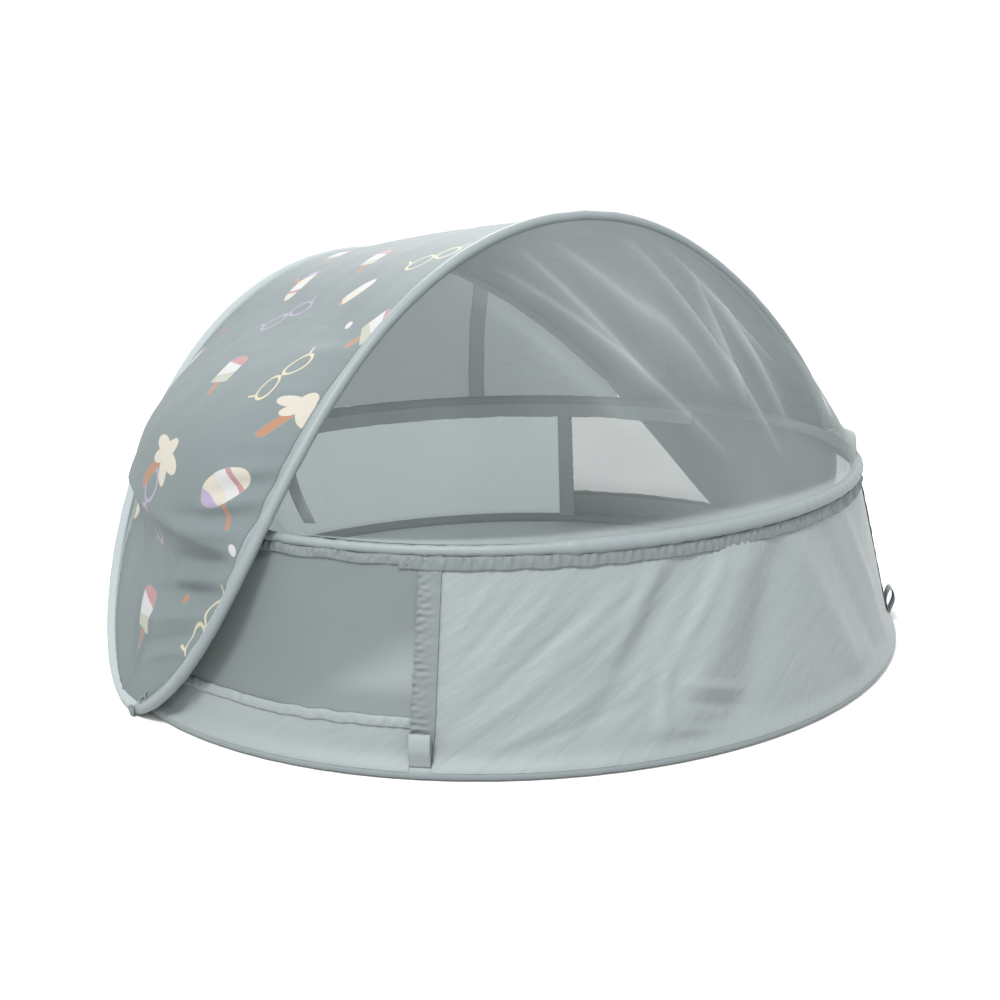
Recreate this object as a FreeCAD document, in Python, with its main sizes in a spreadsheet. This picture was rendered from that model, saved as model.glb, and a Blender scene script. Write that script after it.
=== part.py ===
import FreeCAD, Part
import math
import os
import Sketcher

# Pop-up baby beach tent: a low fabric pen between two steel hoops, with a third
# closed hoop that makes the front and rear arches of a sun canopy, and an insect
# net closing the front. Millimetres, Z up, origin on the ground at the centre of
# the base hoop. X runs between the two feet of the canopy hoop, the front is -Y.

os.makedirs("parts", exist_ok=True)
doc = FreeCAD.newDocument("beach_tent")

SIZES = [
    # pen
    ("base_a", 600.0, "base hoop, half length along X"),
    ("base_b", 551.0, "base hoop, half width along Y"),
    ("rim_a", 540.0, "rim hoop, half length along X"),
    ("rim_b", 484.0, "rim hoop, half width along Y"),
    ("rim_z", 258.0, "rim hoop centre line above the ground"),
    ("seam_deg", 40.6, "direction of each upright seam strip, from the X axis"),
    ("strip_wide", 25.0, "width of an upright seam strip"),
    ("skirt_high", 46.0, "plain strip under each mesh panel"),
    # hoops and cloth
    ("sleeve_r", 7.5, "outer radius of the fabric sleeve round a hoop"),
    ("sleeve_wall", 1.0, "sleeve thickness"),
    ("wire_r", 2.0, "spring steel wire radius"),
    ("ferrule_r", 3.6, "outer radius of the crimped tube closing a wire"),
    ("ferrule_len", 46.0, "length of the crimped tube"),
    ("cloth", 1.2, "thickness given to a layer of cloth"),
    ("play", 0.3, "clear gap between neighbouring pieces"),
    ("hem_r", 9.4, "outer radius of the elastic net hem over the rim"),
    ("hem_high", 24.0, "height of the gathered band under the rim"),
    # canopy hoop
    ("foot_x", 619.0, "canopy hoop foot, half distance along X"),
    ("front_high", 611.0, "front arch, height above the feet"),
    ("front_lean", 150.0, "front arch apex, distance in front of the feet"),
    ("rear_high", 538.0, "rear arch, height above the feet"),
    ("rear_lean", 429.0, "rear arch apex, distance behind the feet"),
    # small pieces
    ("loop_wide", 25.0, "webbing width of a peg loop"),
    ("loop_high", 42.0, "height of a peg loop"),
    ("loop_gap", 12.0, "inside width of a peg loop"),
    ("web", 1.2, "webbing thickness"),
    ("tie_wide", 14.0, "ribbon tie width"),
    ("tie_long", 68.0, "ribbon tie length"),
    ("tack_r", 7.5, "snap disc radius"),
]

sheet = doc.addObject("Spreadsheet::Sheet", "Sizes")
for row, (alias, value, note) in enumerate(SIZES, start=1):
    sheet.set("A%d" % row, alias)
    sheet.set("B%d" % row, str(value))
    sheet.set("C%d" % row, note)
    sheet.setAlias("B%d" % row, alias)
doc.recompute()


def size(alias):
    return float(sheet.get(alias))


base_a, base_b = size("base_a"), size("base_b")
rim_a, rim_b, rim_z = size("rim_a"), size("rim_b"), size("rim_z")
sleeve_r, cloth, play = size("sleeve_r"), size("cloth"), size("play")
hem_r = size("hem_r")

V = FreeCAD.Vector
exported = []


def bind(obj, **links):
    """Ties properties of obj to cells or formulas of the sheet."""
    for prop, formula in links.items():
        obj.setExpression(prop.replace("__", "."), formula)
    return obj


def keep(obj, label):
    """Names obj and puts it on the list of pieces to export."""
    obj.Label = label
    exported.append(obj)
    return obj


def coded(label, shape):
    """A piece whose form has no primitive: the sizes come from the sheet in code."""
    obj = doc.addObject("Part::Feature", label)
    obj.Shape = shape
    return keep(obj, label)


# ---------------------------------------------------------------- flat hoops

def hoop_tube(name, half_a, half_b, height, radius):
    """A closed round tube along a level ellipse. Its round is made of ten arcs, so a mesh of
    a thin wire stays round too."""
    path = doc.addObject("Part::Ellipse", name + "_path")
    bind(path, MajorRadius=half_a, MinorRadius=half_b, Placement__Base__z=height)
    arcs = []
    for tenth in range(10):
        arc = doc.addObject("Part::Circle", "%s_arc_%d" % (name, tenth + 1))
        arc.Angle1, arc.Angle2 = 36 * tenth, 36 * tenth + 36
        arc.Placement = FreeCAD.Placement(V(0, 0, 0), FreeCAD.Rotation(V(1, 0, 0), 90))
        bind(arc, Radius=radius, Placement__Base__x=half_a, Placement__Base__z=height)
        arcs.append(arc)
    ring = doc.addObject("Part::Compound", name + "_ring")
    ring.Links = arcs
    tube = doc.addObject("Part::Sweep", name)
    tube.Sections = [ring]
    tube.Spine = (path, ["Edge1"])
    tube.Solid = True
    tube.Frenet = True
    return tube


def hoop_sleeve(label, half_a, half_b, height):
    """The fabric sleeve: one tube with a smaller one taken out of it."""
    outer = hoop_tube(label + "_outer", half_a, half_b, height, "Sizes.sleeve_r")
    inner = hoop_tube(label + "_inner", half_a, half_b, height,
                      "Sizes.sleeve_r - Sizes.sleeve_wall")
    cut = doc.addObject("Part::Cut", label)
    cut.Base, cut.Tool = outer, inner
    return keep(cut, label)


def ferrule(label, half_a, height):
    """A short crimped tube round the wire, at the -X end of a hoop."""
    outer = doc.addObject("Part::Cylinder", label + "_outer")
    inner = doc.addObject("Part::Cylinder", label + "_inner")
    turn = FreeCAD.Rotation(V(1, 0, 0), -90)
    for obj, radius in ((outer, "Sizes.ferrule_r"), (inner, "Sizes.wire_r + 1.1")):
        obj.Placement = FreeCAD.Placement(V(0, 0, 0), turn)
        bind(obj, Radius=radius, Height="Sizes.ferrule_len",
             Placement__Base__x="-(%s)" % half_a, Placement__Base__z=height,
             Placement__Base__y="-Sizes.ferrule_len / 2")
    cut = doc.addObject("Part::Cut", label)
    cut.Base, cut.Tool = outer, inner
    return keep(cut, label)


hoop_sleeve("base_sleeve", "Sizes.base_a", "Sizes.base_b", "Sizes.sleeve_r")
keep(hoop_tube("base_wire", "Sizes.base_a", "Sizes.base_b", "Sizes.sleeve_r", "Sizes.wire_r"),
     "base_wire")
ferrule("base_ferrule", "Sizes.base_a", "Sizes.sleeve_r")
hoop_sleeve("rim_sleeve", "Sizes.rim_a", "Sizes.rim_b", "Sizes.rim_z")
keep(hoop_tube("rim_wire", "Sizes.rim_a", "Sizes.rim_b", "Sizes.rim_z", "Sizes.wire_r"),
     "rim_wire")
ferrule("rim_ferrule", "Sizes.rim_a", "Sizes.rim_z")


# --------------------------------------------------------------------- floor

def origin_plane(body, role):
    return [o for o in body.Origin.OriginFeatures if o.Role == role][0]


floor = doc.addObject("PartDesign::Body", "floor_sheet")
plan = floor.newObject("Sketcher::SketchObject", "floor_outline")
plan.AttachmentSupport = [(origin_plane(floor, "XY_Plane"), "")]
plan.MapMode = "FlatFace"
edge = sleeve_r + play
plan.addGeometry(Part.Ellipse(V(0, 0, 0), base_a - edge, base_b - edge), False)
plan.addConstraint(Sketcher.Constraint("Coincident", 0, 3, -1, 1))
pad = floor.newObject("PartDesign::Pad", "floor_pad")
pad.Profile = plan
bind(pad, Length="Sizes.cloth * 1.5")
plan.Visibility = False
keep(floor, "floor_sheet")


# ---------------------------------------------------------------- pen walls

def cone(name, grow):
    """The sloping space inside the wall, larger all round by grow."""
    rings = []
    for k, (half_a, half_b, height) in enumerate((
            ("Sizes.base_a", "Sizes.base_b", "Sizes.sleeve_r"),
            ("Sizes.rim_a", "Sizes.rim_b", "Sizes.rim_z"))):
        ring = doc.addObject("Part::Ellipse", "%s_ring%d" % (name, k + 1))
        bind(ring, MajorRadius="%s + %s" % (half_a, grow),
             MinorRadius="%s + %s" % (half_b, grow), Placement__Base__z=height)
        rings.append(ring)
    loft = doc.addObject("Part::Loft", name)
    loft.Sections = rings
    loft.Solid, loft.Ruled = True, True
    return loft


def shell(name, inner, outer):
    """The cloth between two such cones."""
    cut = doc.addObject("Part::Cut", name)
    cut.Base, cut.Tool = cone(name + "_out", outer), cone(name + "_in", inner)
    return cut


def sector(name, start, sweep, low, high):
    """A pie-shaped block from direction start, turning through sweep degrees."""
    pie = doc.addObject("Part::Cylinder", name)
    pie.Placement = FreeCAD.Placement(V(0, 0, 0), FreeCAD.Rotation(V(0, 0, 1), 0))
    bind(pie, Radius="Sizes.base_a + 200", Height="(%s) - (%s)" % (high, low), Angle=sweep,
         Placement__Base__z=low, Placement__Rotation__Angle=start)
    return pie


def panel(label, source, start, sweep, low, high):
    part = doc.addObject("Part::Common", label)
    part.Base, part.Tool = source, sector(label + "_sector", start, sweep, low, high)
    return keep(part, label)


wall_low = "2 * Sizes.sleeve_r + Sizes.play"
wall_high = "Sizes.rim_z - Sizes.hem_r - Sizes.play"
mesh_low = wall_low + " + Sizes.skirt_high + Sizes.play"
# half a strip, and the clear gap beside it, as angles seen from the centre
half_strip = "(Sizes.strip_wide / 2 / Sizes.base_b * 57.3)"
gap_deg = "(Sizes.play / Sizes.rim_b * 57.3)"
seam = "Sizes.seam_deg"

wall = shell("wall_cloth", "-Sizes.cloth / 2", "Sizes.cloth / 2")
inset = "(%s + %s)" % (half_strip, gap_deg)
panel("wall_rear", wall, "%s + %s" % (seam, inset),
      "180 - 2 * %s - 2 * %s" % (seam, inset), wall_low, wall_high)
panel("wall_front", wall, "180 + %s + %s" % (seam, inset),
      "180 - 2 * %s - 2 * %s" % (seam, inset), wall_low, wall_high)
for side, turn in (("right", "0"), ("left", "180")):
    start = "%s - %s + %s" % (turn, seam, inset)
    sweep = "2 * %s - 2 * %s" % (seam, inset)
    panel("mesh_" + side, wall, start, sweep, mesh_low, wall_high)
    panel("skirt_" + side, wall, start, sweep, wall_low, wall_low + " + Sizes.skirt_high")

SEAMS = (("1", "180 + " + seam), ("2", "360 - " + seam), ("3", seam), ("4", "180 - " + seam))
for number, middle in SEAMS:
    panel("seam_strip_" + number, wall, "%s - %s" % (middle, half_strip),
          "2 * %s" % half_strip, wall_low, wall_high)

# gathered band outside the wall, just under the rim, where the net is hooked on
band = shell("band_cloth", "Sizes.cloth / 2 + Sizes.play", "Sizes.cloth * 1.5 + Sizes.play")
panel("rim_band", band, "180 + %s - 6" % seam, "186 - 2 * %s + 44" % seam,
      "%s - Sizes.hem_high" % wall_high, wall_high)


# ------------------------------------------------------------- canopy curves

def arch_point(turn, side):
    """A point of the canopy hoop's centre line. turn runs from 0 at the -X foot to pi at
    the +X foot; side is -1 for the front arch and +1 for the rear arch."""
    c, s = math.cos(turn), math.sin(turn)
    if side < 0:
        high, lean = size("front_high"), size("front_lean")
        along, swell, rise = abs(c) ** 0.59, 1 + 0.185 * s * s, 1 - abs(c) ** 1.2
        out = s ** 1.6 * (1 - 0.66 * s * s) / 0.34
    else:
        high, lean = size("rear_high"), size("rear_lean")
        along, swell, rise = abs(c) ** 1.06, 1 + 0.205 * s * s, 1 - c * c
        out = s ** 0.77 * (1 + 0.45 * s * s) / 1.45
    x = -math.copysign(size("foot_x") * along * swell, c)
    return V(x, side * lean * out, sleeve_r + high * rise)


def arch_turns(count):
    """Parameter values closer together near the feet, where the hoop bends most."""
    return [math.pi * (1 - math.cos(math.pi * k / count)) / 2 for k in range(count + 1)]


def arch_path(side, start, stop, count=26):
    """Smooth centre line of one arch between two shares of its length."""
    turns = [t for t in arch_turns(count) if start < t < stop]
    spline = Part.BSplineCurve()
    spline.interpolate([arch_point(t, side) for t in [start] + turns + [stop]])
    return spline


def tube_along(curve, radius):
    """A round tube along an open curve."""
    edge = curve.toShape()
    first = curve.FirstParameter
    ring = Part.Wire(Part.makeCircle(radius, curve.value(first),
                                     V(*curve.tangent(first)[0])))
    return Part.Wire(edge).makePipeShell([ring], True, True)


def hollow_arch(label, side, end):
    """Half of the canopy sleeve, from one foot to the other; the arches leave the foot
    differently, so each has its own small share left open there."""
    curve = arch_path(side, end, math.pi - end)
    outer = tube_along(curve, sleeve_r)
    inner = tube_along(curve, sleeve_r - size("sleeve_wall"))
    return coded(label, outer.cut(inner))


hollow_arch("front_sleeve", -1, 0.0082)
hollow_arch("rear_sleeve", 1, 0.001)

loop_points = [arch_point(t, -1) for t in arch_turns(26)]
loop_points += [arch_point(t, 1) for t in reversed(arch_turns(26))][1:-1]
loop = Part.BSplineCurve()
loop.interpolate(loop_points, True)
first, last = loop.FirstParameter, loop.LastParameter
middle = (first + last) / 2
halves = []
for start, stop in ((first, middle), (middle, last)):
    half = loop.copy()
    half.segment(start, stop)
    halves.append(tube_along(half, size("wire_r")))
coded("canopy_wire", halves[0].fuse(halves[1]))

# the tube that closes the canopy wire sits in the rear sleeve, at its apex
apex = arch_point(math.pi / 2, 1)
half_ferrule = size("ferrule_len") / 2
tube = Part.makeCylinder(size("ferrule_r"), 2 * half_ferrule, apex - V(half_ferrule, 0, 0), V(1, 0, 0))
bore = Part.makeCylinder(size("wire_r") + 1.1, 2 * half_ferrule,
                         apex - V(half_ferrule, 0, 0), V(1, 0, 0))
coded("canopy_ferrule", tube.cut(bore))


# --------------------------------------------------------------- cloth sheets

def cloth_solid(point, rows, columns, thick):
    """A closed sheet of cloth. point(u, w) gives its middle surface for u and w from 0 to 1;
    a smooth face lies half a thickness to each side of it and ruled strips close the rim."""
    step = 1e-3
    over, under = [], []
    for i in range(rows + 1):
        u = i / rows
        over.append([])
        under.append([])
        for j in range(columns + 1):
            w = j / columns
            here = point(u, w)
            along_u = point(min(u + step, 1), w) - point(max(u - step, 0), w)
            along_w = point(u, min(w + step, 1)) - point(u, max(w - step, 0))
            normal = along_u.cross(along_w)
            normal.normalize()
            over[-1].append(here + normal * (thick / 2))
            under[-1].append(here - normal * (thick / 2))
    faces = []
    for grid in (over, under):
        surface = Part.BSplineSurface()
        surface.interpolate(grid)
        faces.append(surface.toShape())
    strips = [Part.makeRuledSurface(a, b) for a, b in zip(faces[0].Edges, faces[1].Edges)]
    skin = Part.makeShell(faces + strips)
    skin.sewShape()
    solid = Part.makeSolid(skin)
    return solid if solid.Volume > 0 else solid.reversed()


def beside(turn, side, end, distance):
    """The point on the way from an arch to end that lies distance from the arch's line."""
    start = arch_point(turn, side)
    run = arch_point(turn + 1e-4, side) - arch_point(turn - 1e-4, side)
    way = (end - start).normalize()
    return start + way * (distance / way.cross(run.normalize()).Length)


def rim_point(degrees, lift=0.0):
    t = math.radians(degrees)
    return V(rim_a * math.cos(t), rim_b * math.sin(t), rim_z + lift)


def mix(start, end, share):
    return start + (end - start) * share


clear = sleeve_r + 1.2


def ease(share):
    """0 to 1 with a level start and end."""
    t = max(0.0, min(1.0, share))
    return t * t * (3 - 2 * t)


def outside_pen(p):
    """Moves a point of the canopy cloth outwards to the pen's outline where it would fall
    inside, so the cloth is drawn over the end of the rim; the push dies out above it."""
    share = max(0.0, min(1.0, (p.z - sleeve_r) / (rim_z - sleeve_r)))
    room = sleeve_r + 6.0 + 6.0 * math.exp(-((p.z - rim_z) / 32.0) ** 2)
    half_x = base_a + (rim_a - base_a) * share + room
    half_y = base_b + (rim_b - base_b) * share + room
    short = 1.0 / math.hypot(p.x / half_x, p.y / half_y) - 1.0
    soft = 0.012 * math.log(1 + math.exp(min(40.0, short / 0.012)))
    grow = 1.0 + soft * (1.0 - ease((p.z - rim_z - 22.0) / 210.0))
    return V(p.x * grow, p.y * grow, p.z)


def canopy_point(u, w):
    """Canopy cloth: u from the left foot to the right foot, w from front to rear arch."""
    turn = 0.30 + (math.pi - 0.60) * u
    front, rear = arch_point(turn, -1), arch_point(turn, 1)
    start, end = beside(turn, -1, rear, clear), beside(turn, 1, front, clear)
    flat = mix(start, end, w)
    hump = 4 * w * (1 - w)
    pushed = mix(flat, outside_pen(flat), 1 - (1 - hump) ** 3)
    return pushed + V(0, 0, 6.0 * hump * math.sin(turn))


coded("canopy_cloth", cloth_solid(canopy_point, 22, 10, cloth))


def net_point(u, w):
    """Insect net: u from left to right, w from the front arch down to the rim."""
    turn = math.radians(54 + 72 * u)
    rim = rim_point(-157 + 134 * u, hem_r + 1.0)
    start = beside(turn, -1, rim, clear)
    hump = 4 * w * (1 - w) * math.sin(math.pi * u)
    return mix(start, rim, w) + V(0, -14, 10) * hump


coded("insect_net", cloth_solid(net_point, 16, 6, cloth))


def back_point(u, w):
    """Upper back panel: u from left to right, w from the rear arch down to the rim."""
    turn = math.radians(48 + 84 * u)
    rim = rim_point(148 - 116 * u, hem_r + 1.0)
    start = beside(turn, 1, rim, clear)
    hump = 4 * w * (1 - w) * math.sin(math.pi * u)
    return mix(start, rim, w) + V(0, 8, 0) * hump


coded("back_panel", cloth_solid(back_point, 16, 6, cloth))


def band_point(u, w):
    """Upright hem band on the inside of the back panel, right of the middle."""
    return back_point(0.728 + 0.028 * u, 0.04 + 0.92 * w) + V(0, -2.2, 0)


coded("back_band", cloth_solid(band_point, 3, 6, cloth))


# elastic hem of the net, drawn over the rim along the front and the right end
def net_hem():
    count = 22
    spline = Part.BSplineCurve()
    spline.interpolate([rim_point(-128 + 146 * k / count) for k in range(count + 1)])
    return tube_along(spline, hem_r).cut(tube_along(spline, sleeve_r + play))


coded("net_hem", net_hem())


# --------------------------------------------------------------- small pieces

def seam_place(degrees):
    """Where a shape built with X outwards, Y along the hoop and Z up goes, to stand on the
    base hoop at the point seen in the given direction, square to the hoop."""
    seen = math.radians(degrees)
    t = math.atan2(base_a * math.sin(seen), base_b * math.cos(seen))
    spot = V(base_a * math.cos(t), base_b * math.sin(t), 0)
    square = math.degrees(math.atan2(base_a * math.sin(t), base_b * math.cos(t)))
    return FreeCAD.Placement(spot, FreeCAD.Rotation(V(0, 0, 1), square))


def peg_loop():
    """Webbing folded into a drop-shaped loop, its tail sewn just above the base sleeve."""
    web, gap = size("web"), size("loop_gap")
    wide, high = size("loop_wide"), size("loop_high")
    foot, lean = 2 * sleeve_r + 0.6, 3.0
    tail = 9.0
    top = foot + high

    def drop(out, low, up):
        half = gap / 2 + out
        middle = up - half
        left = [V(lean, 0, low), V(lean - half * 0.55, 0, (low + middle) / 2),
                V(lean - half, 0, middle)]
        right = [V(lean + half, 0, middle), V(lean + half * 0.55, 0, (low + middle) / 2),
                 V(lean, 0, low)]
        edges = []
        for pts in (left, right):
            spline = Part.BSplineCurve()
            spline.interpolate(pts)
            edges.append(spline.toShape())
        crown = Part.Arc(left[-1], V(lean, 0, up), right[0]).toShape()
        face = Part.Face(Part.Wire([edges[0], crown, edges[1]]))
        return face.extrude(V(0, wide, 0))

    body = drop(web, foot + tail - 3.4, top)
    hole = drop(0.0, foot + tail, top - web)
    stem = Part.makeBox(2 * web, wide, tail, V(lean - web, 0, foot))
    solid = body.fuse(stem).cut(hole).removeSplitter()
    solid.translate(V(0, -wide / 2, 0))
    return solid


seam_deg = size("seam_deg")
for number, direction in (("1", 180 + seam_deg), ("2", 360 - seam_deg),
                          ("3", seam_deg), ("4", 180 - seam_deg)):
    obj = coded("peg_loop_" + number, peg_loop())
    obj.Placement = seam_place(direction)

# ribbon tie, a folded strip hanging inside the left leg of the front arch
tie_top = arch_point(math.radians(57), -1)
tie_spot = tie_top + V(clear + 7.0, 18.0, 4.0)
long, wide, thin = size("tie_long"), size("tie_wide"), 0.8
strip = Part.makeBox(3 * thin, wide, long, V(-1.5 * thin, -wide / 2, -long))
slit = Part.makeBox(thin, wide, long - 14, V(-0.5 * thin, -wide / 2, -long + thin))
obj = coded("ribbon_tie", strip.cut(slit))
obj.Placement = FreeCAD.Placement(tie_spot, FreeCAD.Rotation(V(0, 0, 1), 20))

# snap discs on the outside of the two feet of the canopy hoop
for side, sign in (("left", -1), ("right", 1)):
    disc = doc.addObject("Part::Cylinder", "tack_" + side)
    disc.Placement = FreeCAD.Placement(V(0, 0, 0), FreeCAD.Rotation(V(0, 1, 0), 90 * sign))
    bind(disc, Radius="Sizes.tack_r - 0.2", Height="3",
         Placement__Base__x="%d * (Sizes.foot_x + Sizes.sleeve_r + Sizes.play)" % sign,
         Placement__Base__z="Sizes.sleeve_r + 0.4")
    keep(disc, "tack_" + side)

doc.recompute()

# every object must be sound before anything is written
for obj in doc.Objects:
    if "Invalid" in obj.State or "Error" in obj.State:
        raise SystemExit("%s is in state %s" % (obj.Label, obj.State))
for obj in exported:
    shape = obj.Shape
    if shape.isNull() or not shape.isValid() or shape.Volume <= 0 or not shape.Solids:
        raise SystemExit("%s has no sound solid" % obj.Label)
for obj in exported:
    obj.Shape.exportStep("parts/%s.step" % obj.Label)
    print(obj.Label, len(obj.Shape.Solids), "%.0f mm3" % obj.Shape.Volume)
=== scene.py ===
import math
import bmesh
import bpy
import numpy as np
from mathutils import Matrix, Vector


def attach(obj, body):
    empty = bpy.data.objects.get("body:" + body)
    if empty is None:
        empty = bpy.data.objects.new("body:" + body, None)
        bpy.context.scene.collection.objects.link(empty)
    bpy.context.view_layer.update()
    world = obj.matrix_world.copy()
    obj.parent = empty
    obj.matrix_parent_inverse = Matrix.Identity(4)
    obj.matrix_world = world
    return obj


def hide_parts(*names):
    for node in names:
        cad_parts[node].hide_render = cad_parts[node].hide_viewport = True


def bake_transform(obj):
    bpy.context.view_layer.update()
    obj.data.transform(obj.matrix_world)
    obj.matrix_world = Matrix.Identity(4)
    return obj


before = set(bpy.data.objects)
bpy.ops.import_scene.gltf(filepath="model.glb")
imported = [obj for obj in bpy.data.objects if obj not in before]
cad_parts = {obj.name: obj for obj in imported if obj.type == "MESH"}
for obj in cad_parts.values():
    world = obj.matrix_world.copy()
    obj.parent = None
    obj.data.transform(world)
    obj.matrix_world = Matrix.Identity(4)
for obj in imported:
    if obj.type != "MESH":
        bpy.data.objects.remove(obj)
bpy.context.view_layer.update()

# Pop-up baby beach tent: pen between two hoops, canopy hoop with printed cloth, insect net.
# Metres, Z up, front is -Y, the canopy hoop stands on the two ends of the X axis.

tent = {
    "baseA": 0.600, "baseB": 0.551,      # base hoop half sizes
    "rimA": 0.540, "rimB": 0.484, "rimZ": 0.258,
    "sleeve": 0.0075,                    # radius of every hoop sleeve
    "seamDeg": 40.6, "stripWide": 0.025, "skirtHigh": 0.046,
    "footX": 0.619,
    "frontHigh": 0.611, "frontLean": 0.150,
    "rearHigh": 0.538, "rearLean": 0.429,
}
pi = math.pi


# ---- small numpy helpers ----

def ease(t):
    # smooth step: 3t^2 - 2t^3 of t held between 0 and 1
    t = np.clip(t, 0, 1)
    return t * t * (3 - 2 * t)


def unit(v):
    # each vector divided by its length
    return v / np.maximum(np.linalg.norm(v, axis=-1, keepdims=True), 1e-9)


def waves(x, y, seed, size, count=7):
    # sum of sines in random directions with wavelengths near size, about -1 to 1
    rng = np.random.default_rng(seed)
    total = np.zeros(np.broadcast(x, y).shape)
    for k in range(count):
        turn, phase = rng.uniform(0, 2 * pi, 2)
        wave = 2 * pi / (size * rng.uniform(0.6, 1.6))
        total = total + np.sin(wave * (x * math.cos(turn) + y * math.sin(turn)) + phase)
    return total / math.sqrt(count * 2)


def ridges(x, y, folds):
    # each fold is a bell-shaped ridge along a line, dying out at both ends:
    # height * exp(-(distance / width)^2) * sin(pi * share along)^0.6
    total = np.zeros(np.broadcast(x, y).shape)
    for x0, y0, x1, y1, height, width in folds:
        dx, dy = x1 - x0, y1 - y0
        length = math.hypot(dx, dy)
        along = ((x - x0) * dx + (y - y0) * dy) / length ** 2
        away = ((x - x0) * dy - (y - y0) * dx) / length
        fade = np.sin(pi * np.clip(along, 0, 1)) ** 0.6
        total = total + height * np.exp(-(away / width) ** 2) * fade
    return total


def addSurface(name, points, material, uv=None, closeU=False, closeV=False, flip=False,
               second=None, secondMask=None):
    # grid of points (n, m, 3) joined into quads; a closed side joins its last row to its first
    n, m = points.shape[:2]
    i, j = np.meshgrid(np.arange(n if closeU else n - 1), np.arange(m if closeV else m - 1),
                       indexing="ij")
    i2, j2 = i + 1, j + 1
    quads = np.stack([(i % n) * m + j % m, (i2 % n) * m + j % m,
                      (i2 % n) * m + j2 % m, (i % n) * m + j2 % m], -1).reshape(-1, 4)
    if uv is None:
        uv = np.stack(np.meshgrid(np.arange(n + 1) / n, np.arange(m + 1) / m,
                                  indexing="ij"), -1)
    corners = np.stack([uv[i, j], uv[i2, j], uv[i2, j2], uv[i, j2]], -2).reshape(-1, 4, 2)
    if flip:
        quads, corners = quads[:, ::-1], corners[:, ::-1]
    mesh = bpy.data.meshes.new(name)
    mesh.vertices.add(n * m)
    mesh.vertices.foreach_set("co", points.reshape(-1).astype(np.float32))
    mesh.loops.add(quads.size)
    mesh.loops.foreach_set("vertex_index", quads.reshape(-1).astype(np.int32))
    mesh.polygons.add(len(quads))
    mesh.polygons.foreach_set("loop_start", np.arange(0, quads.size, 4, dtype=np.int32))
    mesh.polygons.foreach_set("use_smooth", np.ones(len(quads), bool))
    mesh.update(calc_edges=True)
    layer = mesh.uv_layers.new(name="UVMap")
    layer.data.foreach_set("uv", corners.reshape(-1).astype(np.float32))
    mesh.materials.append(material)
    if second is not None:
        mesh.materials.append(second)
        if secondMask is not None:
            mesh.polygons.foreach_set("material_index",
                                      secondMask[i, j].reshape(-1).astype(np.int32))
    mesh.validate()
    piece = bpy.data.objects.new(name, mesh)
    bpy.context.scene.collection.objects.link(piece)
    return piece


def thicken(piece, thickness, materialStep=0):
    # gives a sheet its thickness, half to each side
    mod = piece.modifiers.new("thickness", "SOLIDIFY")
    mod.thickness = thickness
    mod.offset = 0
    mod.use_even_offset = False
    mod.material_offset = materialStep


def lengths(points, axis=0):
    # running length along one axis of a grid of points
    steps = np.linalg.norm(np.diff(points, axis=axis), axis=-1)
    start = np.zeros_like(np.take(steps, [0], axis=axis))
    return np.concatenate([start, np.cumsum(steps, axis=axis)], axis=axis)


# ---- the tent's own curves ----

def rimPoint(angle, out=0.0, up=0.0):
    # rim ellipse (a cos t, b sin t), pushed out along its level normal and up; it sags by a
    # bell curve of t beside the left seam
    turn = np.remainder(angle, 2 * pi) - math.radians(222)
    up = np.asarray(up) - 0.0030 * np.exp(-(turn / 0.55) ** 2)
    normal = unit(np.stack([tent["rimB"] * np.cos(angle), tent["rimA"] * np.sin(angle),
                            0 * angle], -1))
    centre = np.stack([tent["rimA"] * np.cos(angle), tent["rimB"] * np.sin(angle),
                       tent["rimZ"] + 0 * angle], -1)
    lifted = np.array([0, 0, 1.0]) * np.asarray(up)[..., None]
    return centre + normal * np.asarray(out)[..., None] + lifted


def penPoint(direction, share, out=0.0):
    # pen wall: straight from base ellipse to rim ellipse, seen in a level direction;
    # share runs from 0 at the base hoop's centre line to 1 at the rim's
    halfA = tent["baseA"] + (tent["rimA"] - tent["baseA"]) * share
    halfB = tent["baseB"] + (tent["rimB"] - tent["baseB"]) * share
    t = np.arctan2(halfA * np.sin(direction), halfB * np.cos(direction))
    height = tent["sleeve"] + (tent["rimZ"] - tent["sleeve"]) * share
    spot = np.stack([halfA * np.cos(t), halfB * np.sin(t), height], -1)
    lean = (tent["baseA"] - tent["rimA"]) / (tent["rimZ"] - tent["sleeve"])
    normal = unit(np.stack([halfB * np.cos(t), halfA * np.sin(t), lean * halfA + 0 * t], -1))
    return spot + normal * np.asarray(out)[..., None]


def archPoint(turn, side):
    # canopy hoop: x = -foot * cos^p * (1 + k sin^2), z = high * (1 - cos^q),
    # y = lean * sin^r * (1 + c sin^2) scaled to 1 at the apex
    c, s = np.cos(turn), np.sin(turn)
    if side < 0:
        high, lean = tent["frontHigh"], tent["frontLean"]
        along, swell, rise = np.abs(c) ** 0.59, 1 + 0.185 * s * s, 1 - np.abs(c) ** 1.2
        out = s ** 1.6 * (1 - 0.66 * s * s) / 0.34
    else:
        high, lean = tent["rearHigh"], tent["rearLean"]
        along, swell, rise = np.abs(c) ** 1.06, 1 + 0.205 * s * s, 1 - c * c
        out = s ** 0.77 * (1 + 0.45 * s * s) / 1.45
    x = -np.sign(c) * tent["footX"] * along * swell
    return np.stack([x, side * lean * out, tent["sleeve"] + high * rise], -1)


def archTurns(count, start):
    # turns from foot to foot, (1 - cos(pi k / count)) / 2: closer together where the hoop bends most
    return start + (pi - 2 * start) * (1 - np.cos(pi * np.arange(count + 1) / count)) / 2


def towards(start, end, distance):
    # moved along the way from start to end
    return start + unit(end - start) * distance


# ---- materials ----

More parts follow.
